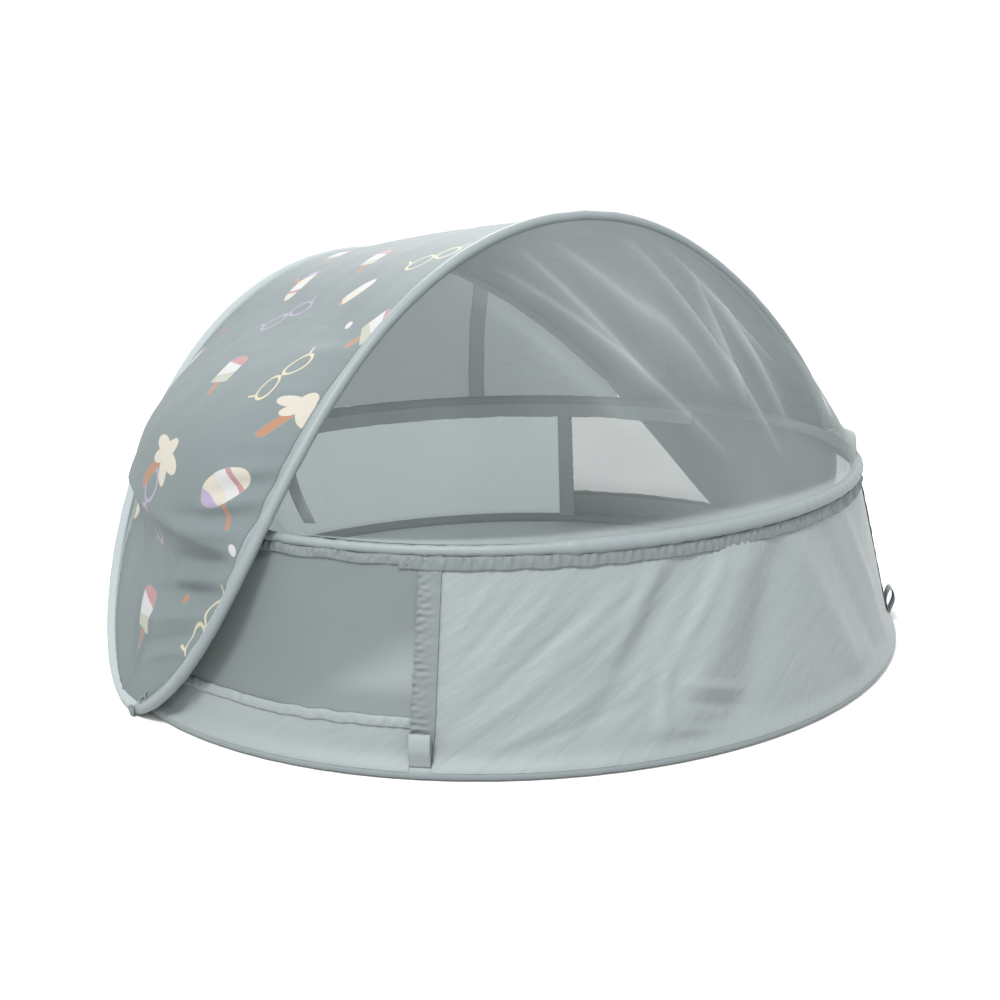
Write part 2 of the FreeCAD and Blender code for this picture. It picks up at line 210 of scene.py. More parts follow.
def newGroup(name, inputs, outputs):
    # node group with named sockets; returns it, its given values and its results
    group = bpy.data.node_groups.new(name, "ShaderNodeTree")
    for label, kind, value in inputs:
        socket = group.interface.new_socket(label, in_out="INPUT", socket_type=kind)
        if value is not None:
            socket.default_value = value
    for label, kind in outputs:
        group.interface.new_socket(label, in_out="OUTPUT", socket_type=kind)
    start, end = group.nodes.new("NodeGroupInput"), group.nodes.new("NodeGroupOutput")
    return group, start.outputs, end.inputs


def put(tree, socket, value):
    # link a socket, or set a plain number
    if isinstance(value, bpy.types.NodeSocket):
        tree.links.new(value, socket)
    else:
        socket.default_value = value


def calc(tree, operation, a, b=None, c=None, clamp=False):
    # one Math node
    node = tree.nodes.new("ShaderNodeMath")
    node.operation, node.use_clamp = operation, clamp
    for socket, value in zip(node.inputs, (a, b, c)):
        if value is not None:
            put(tree, socket, value)
    return node.outputs[0]


def split(tree, vector):
    # x and y of a vector
    node = tree.nodes.new("ShaderNodeSeparateXYZ")
    put(tree, node.inputs[0], vector)
    return node.outputs[0], node.outputs[1]


def join(tree, x, y):
    # a vector from x and y
    node = tree.nodes.new("ShaderNodeCombineXYZ")
    put(tree, node.inputs[0], x)
    put(tree, node.inputs[1], y)
    return node.outputs[0]


def blendColour(tree, share, a, b):
    # a where share is 0, b where it is 1
    node = tree.nodes.new("ShaderNodeMix")
    node.data_type = "RGBA"
    put(tree, node.inputs[0], share)
    put(tree, node.inputs[6], a)
    put(tree, node.inputs[7], b)
    return node.outputs[2]


def noise(tree, vector, scale, detail=3.0):
    # soft noise, 0 to 1
    node = tree.nodes.new("ShaderNodeTexNoise")
    put(tree, node.inputs["Vector"], vector)
    node.inputs["Scale"].default_value = scale
    node.inputs["Detail"].default_value = detail
    node.inputs["Roughness"].default_value = 0.55
    return node.outputs["Fac"]


def mapTo(tree, vector, spot=(0, 0, 0), turn=0.0, size=(1, 1, 1), kind="POINT"):
    # a vector moved, turned and scaled
    node = tree.nodes.new("ShaderNodeMapping")
    node.vector_type = kind
    put(tree, node.inputs["Vector"], vector)
    node.inputs["Location"].default_value = spot
    node.inputs["Rotation"].default_value = (0, 0, turn)
    node.inputs["Scale"].default_value = size
    return node.outputs[0]


def place(tree, group, **values):
    # a group set into a material with its own values
    node = tree.nodes.new("ShaderNodeGroup")
    node.node_tree = group
    for label, value in values.items():
        put(tree, node.inputs[label], value)
    return node.outputs


# plain weave of the polyester: two crossed sine rows, and a slower slub along the threads
def makeWeave():
    g, given, result = newGroup("fineWeave", [("Vector", "NodeSocketVector", None),
                                              ("Thread", "NodeSocketFloat", 0.0009)],
                                [("Height", "NodeSocketFloat"), ("Tone", "NodeSocketFloat")])
    x, y = split(g, given["Vector"])
    turns = calc(g, "DIVIDE", 2 * pi, given["Thread"])
    warp = calc(g, "SINE", calc(g, "MULTIPLY", x, turns))
    weft = calc(g, "SINE", calc(g, "MULTIPLY", y, turns))
    put(g, result["Height"], calc(g, "MULTIPLY", warp, weft))
    slub = noise(g, mapTo(g, given["Vector"], size=(60, 900, 1)), 1.0, 2.0)
    slubAcross = noise(g, mapTo(g, given["Vector"], size=(900, 60, 1)), 1.0, 2.0)
    put(g, result["Tone"], calc(g, "MULTIPLY", calc(g, "ADD", slub, slubAcross), 0.5))
    return g


# soft creases of thin cloth: folded noise at two sizes, stretched along the first direction
def makeCrease():
    g, given, result = newGroup("softCrease", [("Vector", "NodeSocketVector", None),
                                               ("Size", "NodeSocketFloat", 12.0)],
                                [("Height", "NodeSocketFloat")])
    scaled = g.nodes.new("ShaderNodeVectorMath")
    scaled.operation = "SCALE"
    put(g, scaled.inputs[0], given["Vector"])
    put(g, scaled.inputs["Scale"], given["Size"])
    large = calc(g, "ABSOLUTE", calc(g, "SUBTRACT", noise(g, scaled.outputs[0], 1.0, 2.0), 0.5))
    small = calc(g, "ABSOLUTE", calc(g, "SUBTRACT", noise(g, scaled.outputs[0], 3.1, 3.0), 0.5))
    put(g, result["Height"], calc(g, "MULTIPLY_ADD", small, 0.35, large))
    return g


weaveGroup, creaseGroup = makeWeave(), makeCrease()


def startMaterial(name, roughness, sheen, specular, blended=False):
    # a Principled shader on its own, with its constants on its sockets
    material = bpy.data.materials.new(name)
    material.use_nodes = True
    tree = material.node_tree
    tree.nodes.clear()
    shader = tree.nodes.new("ShaderNodeBsdfPrincipled")
    out = tree.nodes.new("ShaderNodeOutputMaterial")
    tree.links.new(shader.outputs[0], out.inputs[0])
    shader.inputs["Roughness"].default_value = roughness
    shader.inputs["Sheen Weight"].default_value = sheen
    shader.inputs["Sheen Roughness"].default_value = 0.5
    shader.inputs["Specular IOR Level"].default_value = specular
    if blended:
        material.surface_render_method = "BLENDED"
    return material, tree, shader


def uvSocket(tree):
    # the piece's own UV map, in metres
    return tree.nodes.new("ShaderNodeTexCoord").outputs["UV"]


def bump(tree, shader, height, distance):
    # height in shares of the distance, which is in metres
    node = tree.nodes.new("ShaderNodeBump")
    node.inputs["Strength"].default_value = 1.0
    node.inputs["Distance"].default_value = distance
    put(tree, node.inputs["Height"], height)
    tree.links.new(node.outputs[0], shader.inputs["Normal"])


def clothMaterial(name, colour, deep, look):
    # woven cloth: base colour varied by slubs and soft patches, bump from creases and weave
    material, tree, shader = startMaterial(name, look.get("rough", 0.6), 0.04, look.get("specular", 0.28))
    uv = uvSocket(tree)
    weave = place(tree, weaveGroup, Vector=uv, Thread=look.get("thread", 0.0009))
    patch = noise(tree, uv, look.get("patchScale", 9.0), 3.0)
    tone = calc(tree, "ADD", calc(tree, "MULTIPLY", weave["Tone"], 0.45),
                calc(tree, "MULTIPLY", patch, 0.55))
    put(tree, shader.inputs["Base Color"], blendColour(tree, tone, deep, colour))
    stretched = mapTo(tree, uv, turn=look.get("turn", 0.0), size=look.get("stretch", (1, 1, 1)),
                      kind="TEXTURE")
    crease = place(tree, creaseGroup, Vector=stretched, Size=look.get("crease", 14.0))
    height = calc(tree, "MULTIPLY_ADD", weave["Height"], look.get("weaveDeep", 0.012),
                  calc(tree, "MULTIPLY", crease["Height"], look.get("creaseDeep", 1.0)))
    bump(tree, shader, height, look.get("bump", 0.0022))
    return material, tree, shader


print("materials")
colours = {   # linear colours of the cloths: high tone, low tone
    "wall": ((0.180, 0.205, 0.209, 1), (0.158, 0.183, 0.187, 1)),
    "strip": ((0.125, 0.144, 0.147, 1), (0.105, 0.122, 0.125, 1)),
    "binding": ((0.158, 0.183, 0.188, 1), (0.138, 0.162, 0.167, 1)),
    "webbing": ((0.200, 0.228, 0.232, 1), (0.175, 0.200, 0.204, 1)),
    # a lighter copy of the binding for the rear sleeve, which stands in the light: painted light
    "litRearBinding": ((0.235, 0.268, 0.273, 1), (0.210, 0.240, 0.245, 1)),
    # the floor's colour is raised well above the walls' so the inside looks lit by daylight through the
    # walls: painted light
    "floor": ((0.620, 0.690, 0.682, 1), (0.570, 0.635, 0.628, 1)),
    "canopy": ((0.109, 0.130, 0.133, 1), (0.096, 0.116, 0.119, 1)),
    "lining": ((0.172, 0.195, 0.194, 1), (0.152, 0.174, 0.173, 1)),
    "mesh": ((0.128, 0.150, 0.149, 1), (0.112, 0.132, 0.131, 1)),
    "net": ((0.262, 0.295, 0.295, 1), (0.232, 0.261, 0.261, 1)),
    "band": ((0.130, 0.150, 0.152, 1), (0.085, 0.100, 0.102, 1)),
    "dark": ((0.330, 0.372, 0.372, 1), (0.280, 0.318, 0.318, 1)),
}


def innerSide(made, inner, glow):
    # painted light: the inside of thin cloth is given a paler colour and a glow, which stand in for
    # daylight coming through it
    material, tree, shader = made
    base = shader.inputs["Base Color"].links[0].from_socket
    facing = tree.nodes.new("ShaderNodeNewGeometry").outputs["Backfacing"]
    put(tree, shader.inputs["Base Color"], blendColour(tree, facing, base, inner))
    shader.inputs["Emission Color"].default_value = inner
    put(tree, shader.inputs["Emission Strength"], calc(tree, "MULTIPLY", facing, glow))
    return material


wallLook = {"stretch": (2.4, 0.50, 1), "turn": 0.60, "crease": 12.0, "bump": 0.0042, "rough": 0.42}
rearLook = {"stretch": (2.4, 0.60, 1), "turn": -0.75, "crease": 8.0, "bump": 0.0022, "rough": 0.5}
wallCloth = clothMaterial("wallCloth", *colours["wall"], wallLook)[0]
# the rear wall's inside gets a pale colour and a glow for daylight coming through the cloth: painted
# light
rearCloth = innerSide(clothMaterial("rearCloth", *colours["wall"], rearLook),
                      (0.56, 0.622, 0.627, 1), 0.34)
bindingCloth = clothMaterial("bindingCloth", *colours["binding"],
                             {"crease": 50.0, "bump": 0.0007, "rough": 0.5, "stretch": (2.5, 1, 1)})[0]
# the rear sleeve's binding, painted lighter than the front sleeve's for the light falling on it
litRearBinding = clothMaterial("litRearBinding", *colours["litRearBinding"],
                            {"crease": 50.0, "bump": 0.0007, "rough": 0.6, "stretch": (2.5, 1, 1)})[0]
floorCloth = clothMaterial("floorCloth", *colours["floor"],
                           {"crease": 7.0, "bump": 0.0015, "rough": 0.7})[0]
# shaded and lit copies of the back panel cloth: the part under the canopy gets the darker inside colour
# (painted shade), the rest the paler one (painted light); both glow for daylight through the cloth
shadedBackCloth = innerSide(clothMaterial("shadedBackCloth", *colours["wall"], rearLook),
                        (0.35, 0.394, 0.391, 1), 0.26)
litBackCloth = innerSide(clothMaterial("backLightCloth", *colours["wall"],
                                    {"crease": 9.0, "bump": 0.0026, "rough": 0.42,
                                     "stretch": (1.8, 0.6, 1)}), (0.38, 0.426, 0.426, 1), 0.24)
stripCloth = clothMaterial("stripCloth", *colours["strip"], {"crease": 30.0, "bump": 0.0010})[0]
# cloth for the inner tapes and the back band, and for the band of painted shadow below the rear rim
hemAndShadeCloth = clothMaterial("innerHemAndShade", *colours["dark"], {"crease": 30.0, "bump": 0.0008})[0]
bandCloth = clothMaterial("gatheredCloth", *colours["band"],
                          {"crease": 40.0, "bump": 0.0012, "stretch": (0.6, 2.0, 1)})[0]
webCloth = clothMaterial("webbingCloth", *colours["webbing"],
                         {"thread": 0.0022, "weaveDeep": 0.2, "crease": 30.0,
                          "creaseDeep": 0.3, "bump": 0.0009, "rough": 0.72})[0]


def meshMaterial(name, colour, deep, solid, open, pitch, gathered=False):
    # knitted mesh: alpha high on the threads and low in the holes between them
    material, tree, shader = startMaterial(name, 0.7, 0.0, 0.15, blended=True)
    uv = uvSocket(tree)
    x, y = split(tree, uv)
    turns = 2 * pi / pitch
    rows = calc(tree, "SINE", calc(tree, "MULTIPLY", x, turns))
    columns = calc(tree, "SINE", calc(tree, "MULTIPLY", y, turns))
    thread = calc(tree, "MULTIPLY_ADD", calc(tree, "MULTIPLY", rows, columns), 0.5, 0.5)
    patch = noise(tree, uv, 5.0, 2.0)
    alpha = calc(tree, "MULTIPLY_ADD", thread, solid - open, open)
    alpha = calc(tree, "ADD", alpha, calc(tree, "MULTIPLY", calc(tree, "SUBTRACT", patch, 0.5), 0.10),
                 clamp=True)
    tone = blendColour(tree, patch, deep, colour)
    if gathered:   # folds where the net lies double are denser and paler
        layer = tree.nodes.new("ShaderNodeAttribute")
        layer.attribute_name = "gather"
        alpha = calc(tree, "MULTIPLY_ADD", layer.outputs["Fac"], 0.54, alpha, clamp=True)
        tone = blendColour(tree, layer.outputs["Fac"], tone, (0.27, 0.303, 0.303, 1))
    put(tree, shader.inputs["Alpha"], alpha)
    put(tree, shader.inputs["Base Color"], tone)
    return material


meshCloth = meshMaterial("meshCloth", *colours["mesh"], 0.76, 0.73, 0.0022)
netCloth = meshMaterial("netCloth", *colours["net"], 0.42, 0.37, 0.0018, True)

steel, steelTree, steelShader = startMaterial("springSteel", 0.35, 0.0, 0.5)
steelShader.inputs["Metallic"].default_value = 1.0
put(steelTree, steelShader.inputs["Base Color"],
    blendColour(steelTree, noise(steelTree, uvSocket(steelTree), 80.0), (0.42, 0.42, 0.43, 1),
                (0.6, 0.6, 0.61, 1)))


# ---- printed pattern ----

def discAway(tree, x, y, cx, cy, rx, ry, turn=0.0):
    # rough distance outside an ellipse: (length of (x/rx, y/ry) - 1) * smaller radius
    dx, dy = calc(tree, "SUBTRACT", x, cx), calc(tree, "SUBTRACT", y, cy)
    if turn:
        c, s = math.cos(turn), math.sin(turn)
        dx, dy = (calc(tree, "MULTIPLY_ADD", dx, c, calc(tree, "MULTIPLY", dy, s)),
                  calc(tree, "MULTIPLY_ADD", dx, -s, calc(tree, "MULTIPLY", dy, c)))
    ex, ey = calc(tree, "DIVIDE", dx, rx), calc(tree, "DIVIDE", dy, ry)
    reach = calc(tree, "SQRT", calc(tree, "MULTIPLY_ADD", ex, ex, calc(tree, "MULTIPLY", ey, ey)))
    return calc(tree, "MULTIPLY", calc(tree, "SUBTRACT", reach, 1.0), min(rx, ry))


def barAway(tree, x, y, cx, cy, halfX, halfY, turn=0.0, corner=0.0):
    # distance outside a bar with rounded corners
    dx, dy = calc(tree, "SUBTRACT", x, cx), calc(tree, "SUBTRACT", y, cy)
    if turn:
        c, s = math.cos(turn), math.sin(turn)
        dx, dy = (calc(tree, "MULTIPLY_ADD", dx, c, calc(tree, "MULTIPLY", dy, s)),
                  calc(tree, "MULTIPLY_ADD", dx, -s, calc(tree, "MULTIPLY", dy, c)))
    qx = calc(tree, "MAXIMUM", calc(tree, "SUBTRACT", calc(tree, "ABSOLUTE", dx), halfX - corner), 0.0)
    qy = calc(tree, "MAXIMUM", calc(tree, "SUBTRACT", calc(tree, "ABSOLUTE", dy), halfY - corner), 0.0)
    reach = calc(tree, "SQRT", calc(tree, "MULTIPLY_ADD", qx, qx, calc(tree, "MULTIPLY", qy, qy)))
    return calc(tree, "SUBTRACT", reach, corner + 0.0002)


def inside(tree, away, soft=0.0008):
    # 1 inside, 0 outside, with a soft edge
    return calc(tree, "SUBTRACT", 0.5, calc(tree, "DIVIDE", away, soft), clamp=True)


def ring(tree, away, half):
    # a line of the given half width along an outline
    return inside(tree, calc(tree, "SUBTRACT", calc(tree, "ABSOLUTE", away), half))


ink = {
    "cream": (0.300, 0.285, 0.245, 1), "white": (0.300, 0.300, 0.300, 1),
    "pink": (0.230, 0.130, 0.137, 1), "lilac": (0.200, 0.172, 0.245, 1),
    "yellow": (0.310, 0.285, 0.200, 1), "clay": (0.215, 0.115, 0.072, 1),
    "mint": (0.225, 0.240, 0.200, 1),
}


def motifGroup(name):
    # an empty motif: colour and mask, drawn about its own middle in metres
    g, given, result = newGroup(name, [("Vector", "NodeSocketVector", None),
                                       ("Line", "NodeSocketColor", ink["yellow"])],
                                [("Color", "NodeSocketColor"), ("Mask", "NodeSocketFloat")])
    x, y = split(g, given["Vector"])
    return g, given, result, x, y


def iceLolly():
    # rounded bar in three bands over a stick
    g, given, result, x, y = motifGroup("iceLolly")
    body = inside(g, barAway(g, x, y, 0, 0.008, 0.0215, 0.024, 0, 0.002))
    crown = inside(g, discAway(g, x, y, 0, 0.028, 0.0215, 0.013))
    body = calc(g, "MAXIMUM", body, crown)
    stick = inside(g, barAway(g, x, y, 0.001, -0.029, 0.0055, 0.014, 0, 0.005))
    top = calc(g, "GREATER_THAN", calc(g, "MULTIPLY_ADD", x, 0.25, y), 0.024)
    low = calc(g, "LESS_THAN", calc(g, "MULTIPLY_ADD", x, -0.2, y), 0.002)
    colour = blendColour(g, top, ink["white"], ink["pink"])
    colour = blendColour(g, low, colour, ink["mint"])
    put(g, result["Color"], blendColour(g, body, ink["clay"], colour))
    put(g, result["Mask"], calc(g, "MAXIMUM", body, stick))
    return g


def sunGlasses():
    # two slanting lens outlines, a bridge and two short arms
    g, given, result, x, y = motifGroup("sunGlasses")
    left = ring(g, discAway(g, x, y, -0.023, 0.0, 0.020, 0.0115, 0.28), 0.0013)
    right = ring(g, discAway(g, x, y, 0.023, 0.0, 0.020, 0.0115, -0.28), 0.0013)
    bridge = inside(g, barAway(g, x, y, 0, 0.003, 0.005, 0.0013, 0, 0.001))
    arms = [inside(g, barAway(g, x, y, side * 0.045, 0.008, 0.006, 0.0014, side * 0.9, 0.001))
            for side in (-1, 1)]
    mask = calc(g, "MAXIMUM", calc(g, "MAXIMUM", left, right), bridge)
    mask = calc(g, "MAXIMUM", mask, calc(g, "MAXIMUM", arms[0], arms[1]))
    put(g, result["Color"], given["Line"])
    put(g, result["Mask"], mask)
    return g


def palmTree():
    # a leaning trunk with a crown of rounded leaves
    g, given, result, x, y = motifGroup("palmTree")
    trunk = inside(g, barAway(g, x, y, -0.006, -0.022, 0.0052, 0.024, -0.16, 0.004))
    crown = None
    for cx, cy, rx, ry, turn in ((0.0, 0.022, 0.009, 0.016, 0.0), (0.015, 0.017, 0.015, 0.010, 0.35),
                                 (-0.015, 0.012, 0.018, 0.008, 0.55), (0.010, 0.003, 0.018, 0.008, -0.9),
                                 (-0.006, 0.002, 0.013, 0.007, 1.0)):
        leaf = inside(g, discAway(g, x, y, cx, cy, rx, ry, turn))
        crown = leaf if crown is None else calc(g, "MAXIMUM", crown, leaf)
    put(g, result["Color"], blendColour(g, crown, ink["clay"], ink["cream"]))
    put(g, result["Mask"], calc(g, "MAXIMUM", crown, trunk))
    return g


def sunShade():
    # a closed-in half parasol in four bands, with its pole
    g, given, result, x, y = motifGroup("sunShade")
    shade = inside(g, discAway(g, x, y, 0, 0.002, 0.044, 0.019, 0.0))
    pole = inside(g, barAway(g, x, y, -0.016, -0.026, 0.0030, 0.019, -0.6, 0.002))
    slant = calc(g, "MULTIPLY_ADD", y, 0.5, x)
    colour = blendColour(g, calc(g, "GREATER_THAN", slant, -0.026), ink["lilac"], ink["cream"])
    colour = blendColour(g, calc(g, "GREATER_THAN", x, -0.004), colour, ink["white"])
    colour = blendColour(g, calc(g, "GREATER_THAN", x, 0.016), colour, ink["pink"])
    colour = blendColour(g, calc(g, "GREATER_THAN", x, 0.024), colour, ink["cream"])
    put(g, result["Color"], blendColour(g, shade, ink["clay"], colour))
    put(g, result["Mask"], calc(g, "MAXIMUM", shade, pole))
    return g


def surfBoard():
    # pointed oval in two colours, cut by a slanting edge
    g, given, result, x, y = motifGroup("surfBoard")
    body = inside(g, discAway(g, x, y, 0, 0, 0.036, 0.014))
    tip = calc(g, "GREATER_THAN", calc(g, "MULTIPLY_ADD", y, 0.8, x), 0.004)
    tail = calc(g, "LESS_THAN", x, -0.029)
    colour = blendColour(g, tip, ink["cream"], ink["white"])
    put(g, result["Color"], blendColour(g, tail, colour, ink["clay"]))
    put(g, result["Mask"], body)
    return g


def spot():
    # a small oval dot
    g, given, result, x, y = motifGroup("spot")
    put(g, result["Color"], given["Line"])
    put(g, result["Mask"], inside(g, discAway(g, x, y, 0, 0, 0.0055, 0.0065)))
    return g


motifs = {"lolly": iceLolly(), "glasses": sunGlasses(), "palm": palmTree(),
          "shade": sunShade(), "board": surfBoard(), "spot": spot()}

canopyHem = 0.016   # width of the gathered hem along the rear sleeve
printPlan = {
    "repeat": 0.88,   # the layout starts again after this length along the arches
    "throughCloth": (0.30, 0.33, 0.33, 1),   # the print as it shows on the inside
    "seam": (0.045, 0.055, 0.057, 1),
    "pieces": [       # motif, place along, place across, turn in degrees, size, line colour
        ("lolly", 0.125, -0.008, -90, 0.95, "yellow"), ("spot", 0.183, -0.097, 0, 1.0, "clay"),
        ("glasses", 0.175, -0.170, -36, 1.30, "yellow"), ("spot", 0.281, -0.217, 0, 1.15, "white"),
        ("glasses", 0.280, -0.035, -14, 1.20, "lilac"), ("shade", 0.352, -0.200, -50, 1.05, "yellow"),
        ("palm", 0.340, -0.055, -124, 1.30, "yellow"), ("palm", 0.498, -0.252, -104, 1.32, "yellow"),
        ("lolly", 0.495, -0.035, -63, 1.00, "yellow"), ("glasses", 0.550, -0.180, -8, 1.20, "yellow"),
        ("glasses", 0.625, 0.030, -36, 1.20, "lilac"), ("spot", 0.661, -0.192, 0, 1.2, "white"),
        ("lolly", 0.668, -0.262, -123, 0.95, "yellow"), ("board", 0.712, -0.115, -34, 1.0, "yellow"),
        ("shade", 0.690, 0.125, -160, 1.05, "yellow"), ("lolly", 0.785, -0.020, -75, 0.90, "yellow"),
        ("glasses", 0.805, -0.215, -60, 1.10, "yellow"), ("palm", 0.180, 0.190, -80, 1.1, "yellow"),
        ("lolly", 0.430, 0.215, -110, 0.95, "yellow"), ("glasses", 0.330, 0.215, 30, 1.15, "yellow"),
        ("spot", 0.520, 0.215, 0, 1.1, "clay"), ("lolly", 0.810, 0.205, -70, 0.95, "yellow"),
    ],
}


def printLayout():
    # all motifs laid out on one repeat of the cloth
    g, given, result = newGroup("holidayPrint", [("Vector", "NodeSocketVector", None)],
                                [("Color", "NodeSocketColor"), ("Mask", "NodeSocketFloat")])
    x, y = split(g, given["Vector"])
    wrapped = join(g, calc(g, "FLOORED_MODULO", x, printPlan["repeat"]), y)
    colour, mask = ink["cream"], 0.0
    for kind, along, across, turn, big, line in printPlan["pieces"]:
        local = mapTo(g, wrapped, (along, across, 0), math.radians(turn), (big, big, 1), "TEXTURE")
        motif = place(g, motifs[kind], Vector=local, Line=ink[line])
        colour = blendColour(g, motif["Mask"], colour, motif["Color"])
        mask = calc(g, "MAXIMUM", mask, motif["Mask"])
    put(g, result["Color"], colour)
    put(g, result["Mask"], mask)
    return g


printGroup = printLayout()


def printedMaterial(name, colour, deep, strength, look):
    # cloth with the print laid over its own colour; strength 1 is the right side
    material, tree, shader = clothMaterial(name, colour, deep, look)
    uv = uvSocket(tree)
    pattern = place(tree, printGroup, Vector=uv)
    base = shader.inputs["Base Color"].links[0].from_socket
    share = calc(tree, "MULTIPLY", pattern["Mask"], strength)
    rightSide = strength > 0.5
    tint = pattern["Color"] if rightSide else printPlan["throughCloth"]
    printed = blendColour(tree, share, base, tint)
    for label, wide in (("fromFront", 0.009), ("fromRear", canopyHem)):   # hems and their seam lines
        away = tree.nodes.new("ShaderNodeAttribute")
        away.attribute_name = label
        hem = calc(tree, "LESS_THAN", away.outputs["Fac"], wide)
        printed = blendColour(tree, hem, printed, colours["binding"][0])
        line = calc(tree, "ABSOLUTE", calc(tree, "SUBTRACT", away.outputs["Fac"], wide))
        line = calc(tree, "DIVIDE", line, 0.0016 if rightSide else 0.0024)
        line = calc(tree, "SUBTRACT", 1.0, line, clamp=True)
        printed = blendColour(tree, calc(tree, "MULTIPLY", line, 0.8), printed, printPlan["seam"])
    put(tree, shader.inputs["Base Color"], printed)
    return material


canopyCloth = printedMaterial("printedCloth", *colours["canopy"], 0.94,
                              {"crease": 7.0, "bump": 0.0026, "stretch": (0.7, 1.7, 1), "turn": 0.3,
                               "rough": 0.6, "specular": 0.08})
canopyLining = printedMaterial("canopyLining", *colours["lining"], 0.22,
                               {"crease": 8.0, "bump": 0.0022, "stretch": (0.7, 1.6, 1)})


# ---- hoops in their sleeves ----

def tubeAround(name, path, closed, radius, material, reference, seamAt=None, seamOut=0.0,
               sides=20, body="root"):
    # a round tube along a path: centre + r(a) (cos a * A + sin a * B), with A across the path
    # towards the reference direction and B square to both; seamOut raises a lip at angle seamAt
    step = np.roll(path, -1, 0) - np.roll(path, 1, 0) if closed else np.gradient(path, axis=0)
    tangent = unit(step)
    first = unit(reference - (reference * tangent).sum(-1, keepdims=True) * tangent)
    second = np.cross(tangent, first)
    angle = 2 * pi * np.arange(sides) / sides
    r = np.broadcast_to(np.asarray(radius, float).reshape(-1, 1), (len(path), sides)).copy()
    if seamAt is not None:
        away = (angle[None, :] - np.asarray(seamAt).reshape(-1, 1) + pi) % (2 * pi) - pi
        r += seamOut * np.exp(-(away / 0.30) ** 2)
    points = (path[:, None] + r[..., None] * (np.cos(angle)[None, :, None] * first[:, None]
              + np.sin(angle)[None, :, None] * second[:, None]))
    along = lengths(np.concatenate([path, path[:1]]) if closed else path)
    if not closed:
        along = np.append(along, along[-1])
    around = np.arange(sides + 1)[None] * 2 * pi * tent["sleeve"] / sides
    uv = np.stack(np.broadcast_arrays(along[:, None], around), -1)
    piece = addSurface(name, points, material, uv, closeU=closed, closeV=True, flip=True)
    if not closed:
        closeEnds(piece, len(path), sides)
    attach(piece, body)
    return piece


def closeEnds(piece, rows, sides):
    # flat caps on the two open ends of a tube
    bm = bmesh.new()
    bm.from_mesh(piece.data)
    bm.verts.ensure_lookup_table()
    bm.faces.new([bm.verts[k] for k in range(sides)])
    bm.faces.new([bm.verts[(rows - 1) * sides + k] for k in reversed(range(sides))])
    bmesh.ops.recalc_face_normals(bm, faces=bm.faces)
    bm.to_mesh(piece.data)
    bm.free()


print("hoops")
sleeveLook = {"pucker": 0.00022, "puckerEvery": 0.030}
ringAngle = 2 * pi * np.arange(720) / 720
up = np.array([0, 0, 1.0])
basePath = np.stack([tent["baseA"] * np.cos(ringAngle), tent["baseB"] * np.sin(ringAngle),
                     tent["sleeve"] + 0 * ringAngle], -1)
puff = sleeveLook["pucker"] * waves(ringAngle * 0.58, 0 * ringAngle, 3, sleeveLook["puckerEvery"])
baseSleeve = tubeAround("baseSleeve", basePath, True, tent["sleeve"] - 0.0002 + puff, bindingCloth,
                        np.broadcast_to(up, basePath.shape), 0.0, 0.0030)
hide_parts("base_sleeve")

rimPath = rimPoint(ringAngle)
slim = np.exp(-((ringAngle - math.radians(212)) / 0.45) ** 2)
rimRadius = tent["sleeve"] - 0.0002 - 0.0015 * slim + puff * 1.5
rimRadius = rimRadius + 0.0006 * slim * waves(ringAngle * 0.52, 0 * ringAngle, 5, 0.010)
rimSleeve = tubeAround("rimSleeve", rimPath, True, rimRadius,
                       bindingCloth, np.broadcast_to(-up, rimPath.shape), 0.0, 0.0025)
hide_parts("rim_sleeve")

hub = np.array([0, 0, tent["sleeve"]])
for label, side in (("frontSleeve", -1), ("rearSleeve", 1)):
    turns = archTurns(360, 0.0082 if side < 0 else 0.00008)
    path = archPoint(turns, side)
    radial = unit(path - hub)
    tangent = unit(np.gradient(path, axis=0))
    across = archPoint(turns, -side) - path
    first = unit(radial - (radial * tangent).sum(-1, keepdims=True) * tangent)
    second = np.cross(tangent, first)
    lip = np.arctan2((across * second).sum(-1), (across * first).sum(-1))
    run = lengths(path)
    puff = sleeveLook["pucker"] * waves(run, 0 * run, 11 + side, sleeveLook["puckerEvery"])
    sleeve = tubeAround(label, path, False, tent["sleeve"] - 0.0002 + puff,
                        bindingCloth if side < 0 else litRearBinding, radial,
                        lip, 0.0040, body="canopy")
    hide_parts("front_sleeve" if side < 0 else "rear_sleeve")


# ---- pen walls ----

def wallGrid(fromDeg, toDeg, low, high, across, upward):
    # panel of the pen between two directions and two heights; x runs along, y up, in metres
    direction = np.radians(np.linspace(fromDeg, toDeg, across))[:, None]
    height = np.linspace(low, high, upward)[None, :]
    share = (height - tent["sleeve"]) / (tent["rimZ"] - tent["sleeve"])
    direction, share = np.broadcast_arrays(direction, share)
    middle = penPoint(direction, share)
    x = lengths(middle)[:, upward // 2][:, None] + 0 * share
    y = lengths(middle, 1)
    return direction, share, x, y


def addWall(name, node, span, low, high, material, relief, counts, sag=0.0):
    # wall panel: relief + sag * sin(pi x) * sin(pi y), held flat at its four edges
    direction, share, x, y = wallGrid(span[0], span[1], low, high, *counts)
    tall = y.max()
    hold = np.sin(pi * (x / x.max())) ** 0.4 * ease(y / 0.030) * ease((tall - y) / 0.045)
    out = relief(x, y) * hold + sag * np.sin(pi * x / x.max()) * np.sin(pi * y / tall)
    if low == wallLow:   # the lower edge is sewn on the outside of the base sleeve
        share = share - 0.024 * np.exp(-(y / 0.012) ** 2)
        out = out + 0.0078 * np.exp(-(y / 0.009) ** 2)
    points = penPoint(direction, share, out)
    piece = addSurface(name, points, material, np.stack([x, y], -1))
    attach(piece, "root")
    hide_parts(node)


print("pen")
wallLow, wallHigh = 0.0150, 0.2500
seamHalf = math.degrees(tent["stripWide"] / 2 / tent["baseB"])
seamDeg = tent["seamDeg"]

